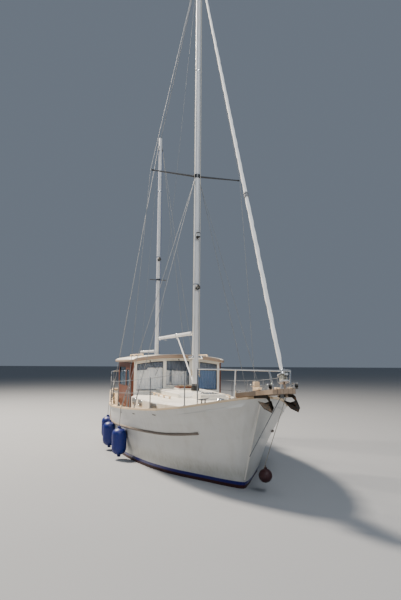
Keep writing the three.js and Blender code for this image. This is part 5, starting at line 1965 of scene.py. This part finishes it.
    def headsail(self) -> None:
        """Roll the headsail round its stay: the cloth's free edge winds up as a low step."""
        foot, way, turn = self.stay()
        count = 420
        low, high = self.roll[0][0], self.roll[-1][0]
        rings = []
        for n in range(count + 1):
            height = low + (high - low) * n / count
            ring = []
            for a in angles(40):
                phase = (a / (2 * pi) + height / self.wraps) % 1.0
                slack = 0.5 * sin(height * 9.1 + 3 * a) * 0.04 + 0.03 * sin(height * 23 + a)
                step = 1 - 0.13 * phase + 0.04 * sin(phase * 4 * pi) + slack
                r = self.roll_radius(height) * step
                ring.append(foot + turn @ Vector((r * cos(a), r * sin(a), height)))
            rings.append(ring)
        sail = Solid().rings(rings).made("rolled_headsail", [SAILCLOTH], "furling_headsail", angle=70)
        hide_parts("headsail")
        foil = Solid()
        for profile, sides in (
            ([(0.2505, 0.013), (0.34, 0.013)], 16), ([(10.4, 0.0125), (10.67, 0.0125)], 16),
            ([(0.2505, 0.03), (0.27, 0.03), (0.275, 0.018), (0.33, 0.016)], 20),
            ([(10.47, 0.012), (10.475, 0.026), (10.56, 0.026), (10.565, 0.012)], 20),
        ):
            foil.turned(profile, foot, way, sides)
        foil.made("headsail_foil", [STAINLESS], "furling_headsail")
        tie = [(0, 0.033), (0.006, 0.042), (0.03, 0.044), (0.036, 0.038), (0.074, 0.038), (0.08, 0.044),
               (0.104, 0.042), (0.11, 0.032)]
        Solid().turned([(self.tie + along, r) for along, r in tie], foot, way, 24).made(
            "sail_tie", [GALVANISED], "furling_headsail")

    def stay(self) -> tuple[Vector, Vector, Quaternion]:
        """Give the headstay's foot, its direction, and the turn to it from upright."""
        foot = Vector(self.stay_foot)
        way = (Vector(self.stay_head) - foot).normalized()
        return foot, way, UP.rotation_difference(way)

    def roll_radius(self, height: float) -> float:
        """Give the rolled sail's radius at some height along the stay.

        Args:
            height: The height.

        Returns:
            The radius.
        """
        for (low, first), (high, last) in zip(self.roll, self.roll[1:]):
            if height <= high:
                share = max(0.0, (height - low) / (high - low))
                return first + (last - first) * share
        return self.roll[-1][1]

    def drum_rope(self) -> None:
        """Wind the furling line on the drum."""
        foot, _, turn = self.stay()
        path = []
        steps = 9 * 20
        for r, inner in ((0.045, True), (0.053, False)):
            for k, a in enumerate(angles(20, steps + 1)):
                share = k / steps if inner else 1 - k / steps
                path.append(foot + turn @ Vector((r * cos(a), r * sin(a), 0.146 + 0.088 * share)))
        Solid().tube(path, 0.0046, 8).made("furling_line", [ROPE], "furling_headsail")


# Stern and side gear


@dataclass
class Fenders:
    """The three side fenders and the ball at the bow, hung from the caprail."""

    places: tuple[float, ...] = (3.85, 5.1, 6.3)
    stem: float = 5.2
    radius: float = 0.16
    low: float = 0.06
    ball: Point = (4.83, 0.225, 0.285)
    ball_radius: float = 0.11

    def build(self) -> None:
        """Build the fenders, each leaned on the hull."""
        self.starboard = Surface("hull", "rub_strake_starboard")
        self.port = Surface("hull", "rub_strake_port")
        self.rail = Rail()
        r = self.radius
        profile = [(0.0, 0.02), (0.0, 0.036), (0.02, 0.042), (0.03, 0.03), (0.04, 0.05), (0.06, r * 0.6),
                   (0.1, r * 0.86), (0.15, r * 0.97), (0.2, r)]
        profile += [(0.2 + 0.26 * k / 8, r * (1.0 - 0.012 * (k % 2))) for k in range(1, 9)]
        profile += [(0.5, r * 0.97), (0.545, r * 0.86), (0.58, r * 0.6), (0.595, 0.05), (0.605, 0.03),
                    (0.615, 0.042), (0.638, 0.034), (0.64, 0.018)]
        for n, aft in enumerate(self.places):
            low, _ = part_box(f"fender_{n + 1}")
            base = Vector((self.stem - aft, low.y + r, self.low))
            self.hung(f"fender_{n + 1}", profile, base, -1, FENDER_BLUE)
        b = self.ball_radius
        round_form = [(b - 0.112, 0.012), (b - 0.106, 0.03)]
        bows = [pi * (0.14 + 0.8 * k / 16) for k in range(17)]
        round_form += [(b - b * cos(a), b * sin(a)) for a in bows]
        round_form += [(2 * b - 0.004, 0.026), (2 * b + 0.016, 0.026), (2 * b + 0.022, 0.012)]
        self.hung("ball_fender", round_form, Vector(self.ball) - UP * b, 1, BALL_RED)

    def hung(self, node: str, profile: list[Pair], base: Vector, side: int,
             finish: Finish) -> None:
        """Build one fender from its profile, flatten it where it leans, and hang it by its lanyard.

        Args:
            node: The fender's node.
            profile: Heights and radii.
            base: Its lowest point.
            side: 1 for port, -1 for starboard.
            finish: Its skin.
        """
        solid = Solid().turned(profile, base, sides=40)
        skin = self.port if side > 0 else self.starboard
        for point in solid.points:
            touch = skin.tree.ray_cast(Vector((point.x, side * 3, point.z)), Vector((0, -side, 0)))[0]
            if touch is not None and point.y * side < touch.y * side + 0.0015:
                point.y = touch.y + side * 0.0015
        body = solid.made(node + "_body", [finish], angle=60)
        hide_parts(node)
        top = base + UP * profile[-1][0]
        ring = circle(top + UP * 0.008, AHEAD * 0.016, UP * 0.014, 16)
        Solid().tube(ring, 0.005, 8, True).made(node + "_eye", [finish])
        edge = self.rail.edge(top.x, side)
        rope = 0.0075
        over = [top + UP * 0.012, top + UP * 0.06, edge + Vector((0, side * 0.014, -0.06)),
                edge + Vector((0, side * 0.011, -0.008)), edge + Vector((0, -side * 0.006, rope)),
                edge + Vector((0.004, -side * 0.034, rope))]
        line = Solid().tube(curve(over, 6), 0.006, 8)
        turns = [edge + Vector((0.004 + 0.013 * cos(a), -side * (0.045 + 0.012 * sin(a)),
                                rope + 0.0009 * a)) for a in angles(20, 61)]
        line.tube(turns, 0.0055, 8)
        line.made(node + "_lanyard", [LANYARD])


@dataclass
class SternGear:
    """The stern rail and its ensign socket."""

    socket_length: float = 0.16

    def build(self) -> None:
        """Dress the rail and add its fittings."""
        dress(STAINLESS, "stern_rail")
        low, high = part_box("stern_rail")
        foot = -self.socket_length
        Solid().turned([(foot, 0.016), (foot + 0.002, 0.019), (0.012, 0.019), (0.014, 0.013)],
                       (low.x + 0.04, 0, high.z - 0.02), (-0.2, 0, 0.98), 18).made("ensign_socket", [BRONZE])


# Studio


@dataclass
class Studio:
    """The pale floor at the waterline, the soft lights and the camera."""

    eye: Point = (12.5, -3.32, 2.1)
    bearing: float = 17.5
    rise: float = 7.07
    roll: float = 0.45
    frame_size: tuple[int, int] = (401, 600)
    focal: float = 500.0

    def build(self) -> None:
        """Set the stage."""
        self.floor()
        self.sky()
        self.lights()
        self.camera()

    def floor(self) -> None:
        """Lay a matt floor at the waterline."""
        mesh = bpy.data.meshes.new("floor")
        far = 200
        mesh.from_pydata([(-far, -far, 0), (far, -far, 0), (far, far, 0), (-far, far, 0)], [], [[0, 1, 2, 3]])
        floor = linked("floor", mesh)
        material = bpy.data.materials.new("floor")
        bench = Bench(material)
        cloud = bench.noise(0.4, 3.0)
        bench.lay(bench.mix(cloud, "929598", "8d9093"), 0.9)
        mesh.materials.append(material)

    def sky(self) -> None:
        """Light the surroundings softly and evenly."""
        world = bpy.data.worlds.new("studio")
        bpy.context.scene.world = world
        world.use_nodes = True
        background = world.node_tree.nodes["Background"]
        background.inputs["Color"].default_value = tint("bccbdf")
        background.inputs["Strength"].default_value = 0.3

    def lights(self) -> None:
        """Hang a large warm key light over the starboard quarter, a cool fill ahead and a weak one above."""
        for name, place, aim, size, power, colour in (
            ("key", (-9.5, -9.0, 21.0), (-0.5, 0, 1.5), 4.0, 19000.0, "fff1e0"),
            ("fill", (19.0, -0.5, 16.0), (0, 0, 2.0), 7.0, 2900.0, "eef1f6"),
            ("top", (2.0, 2.0, 22.0), (0, 0, 0), 14.0, 200.0, "eef2f7"),
        ):
            light = bpy.data.lights.new(name, "AREA")
            light.shape = "SQUARE"
            light.size = size
            light.energy = power
            light.color = tint(colour)[:3]
            lamp = linked(name, light)
            lamp.location = place
            lamp.rotation_mode = "QUATERNION"
            lamp.rotation_quaternion = (Vector(aim) - Vector(place)).to_track_quat("-Z", "Y")

    def camera(self) -> None:
        """Stand the camera where the photograph was taken."""
        data = bpy.data.cameras.new("camera")
        data.sensor_fit = "VERTICAL"
        data.sensor_height = 24
        data.lens = 24 * self.focal / self.frame_size[1]
        data.clip_end = 500
        camera = linked("camera", data)
        bearing, rise = radians(self.bearing), radians(self.rise)
        look = Vector((-cos(bearing) * cos(rise), sin(bearing) * cos(rise), sin(rise)))
        camera.rotation_mode = "QUATERNION"
        camera.rotation_quaternion = look.to_track_quat("-Z", "Y") @ Quaternion(UP, radians(self.roll))
        camera.location = self.eye
        bpy.context.scene.camera = camera


def main() -> None:
    """Build the sub-assemblies in order."""
    logging.basicConfig(level=logging.INFO, format="%(name)s: %(message)s")
    for kind in (HullDressing, BowGear, Cabins, Wheelhouse, Furnishings, Rig, Fenders, SternGear, Studio):
        kind().build()
        log.info("%s is built", kind.__name__)


if __name__ == "__main__":
    main()
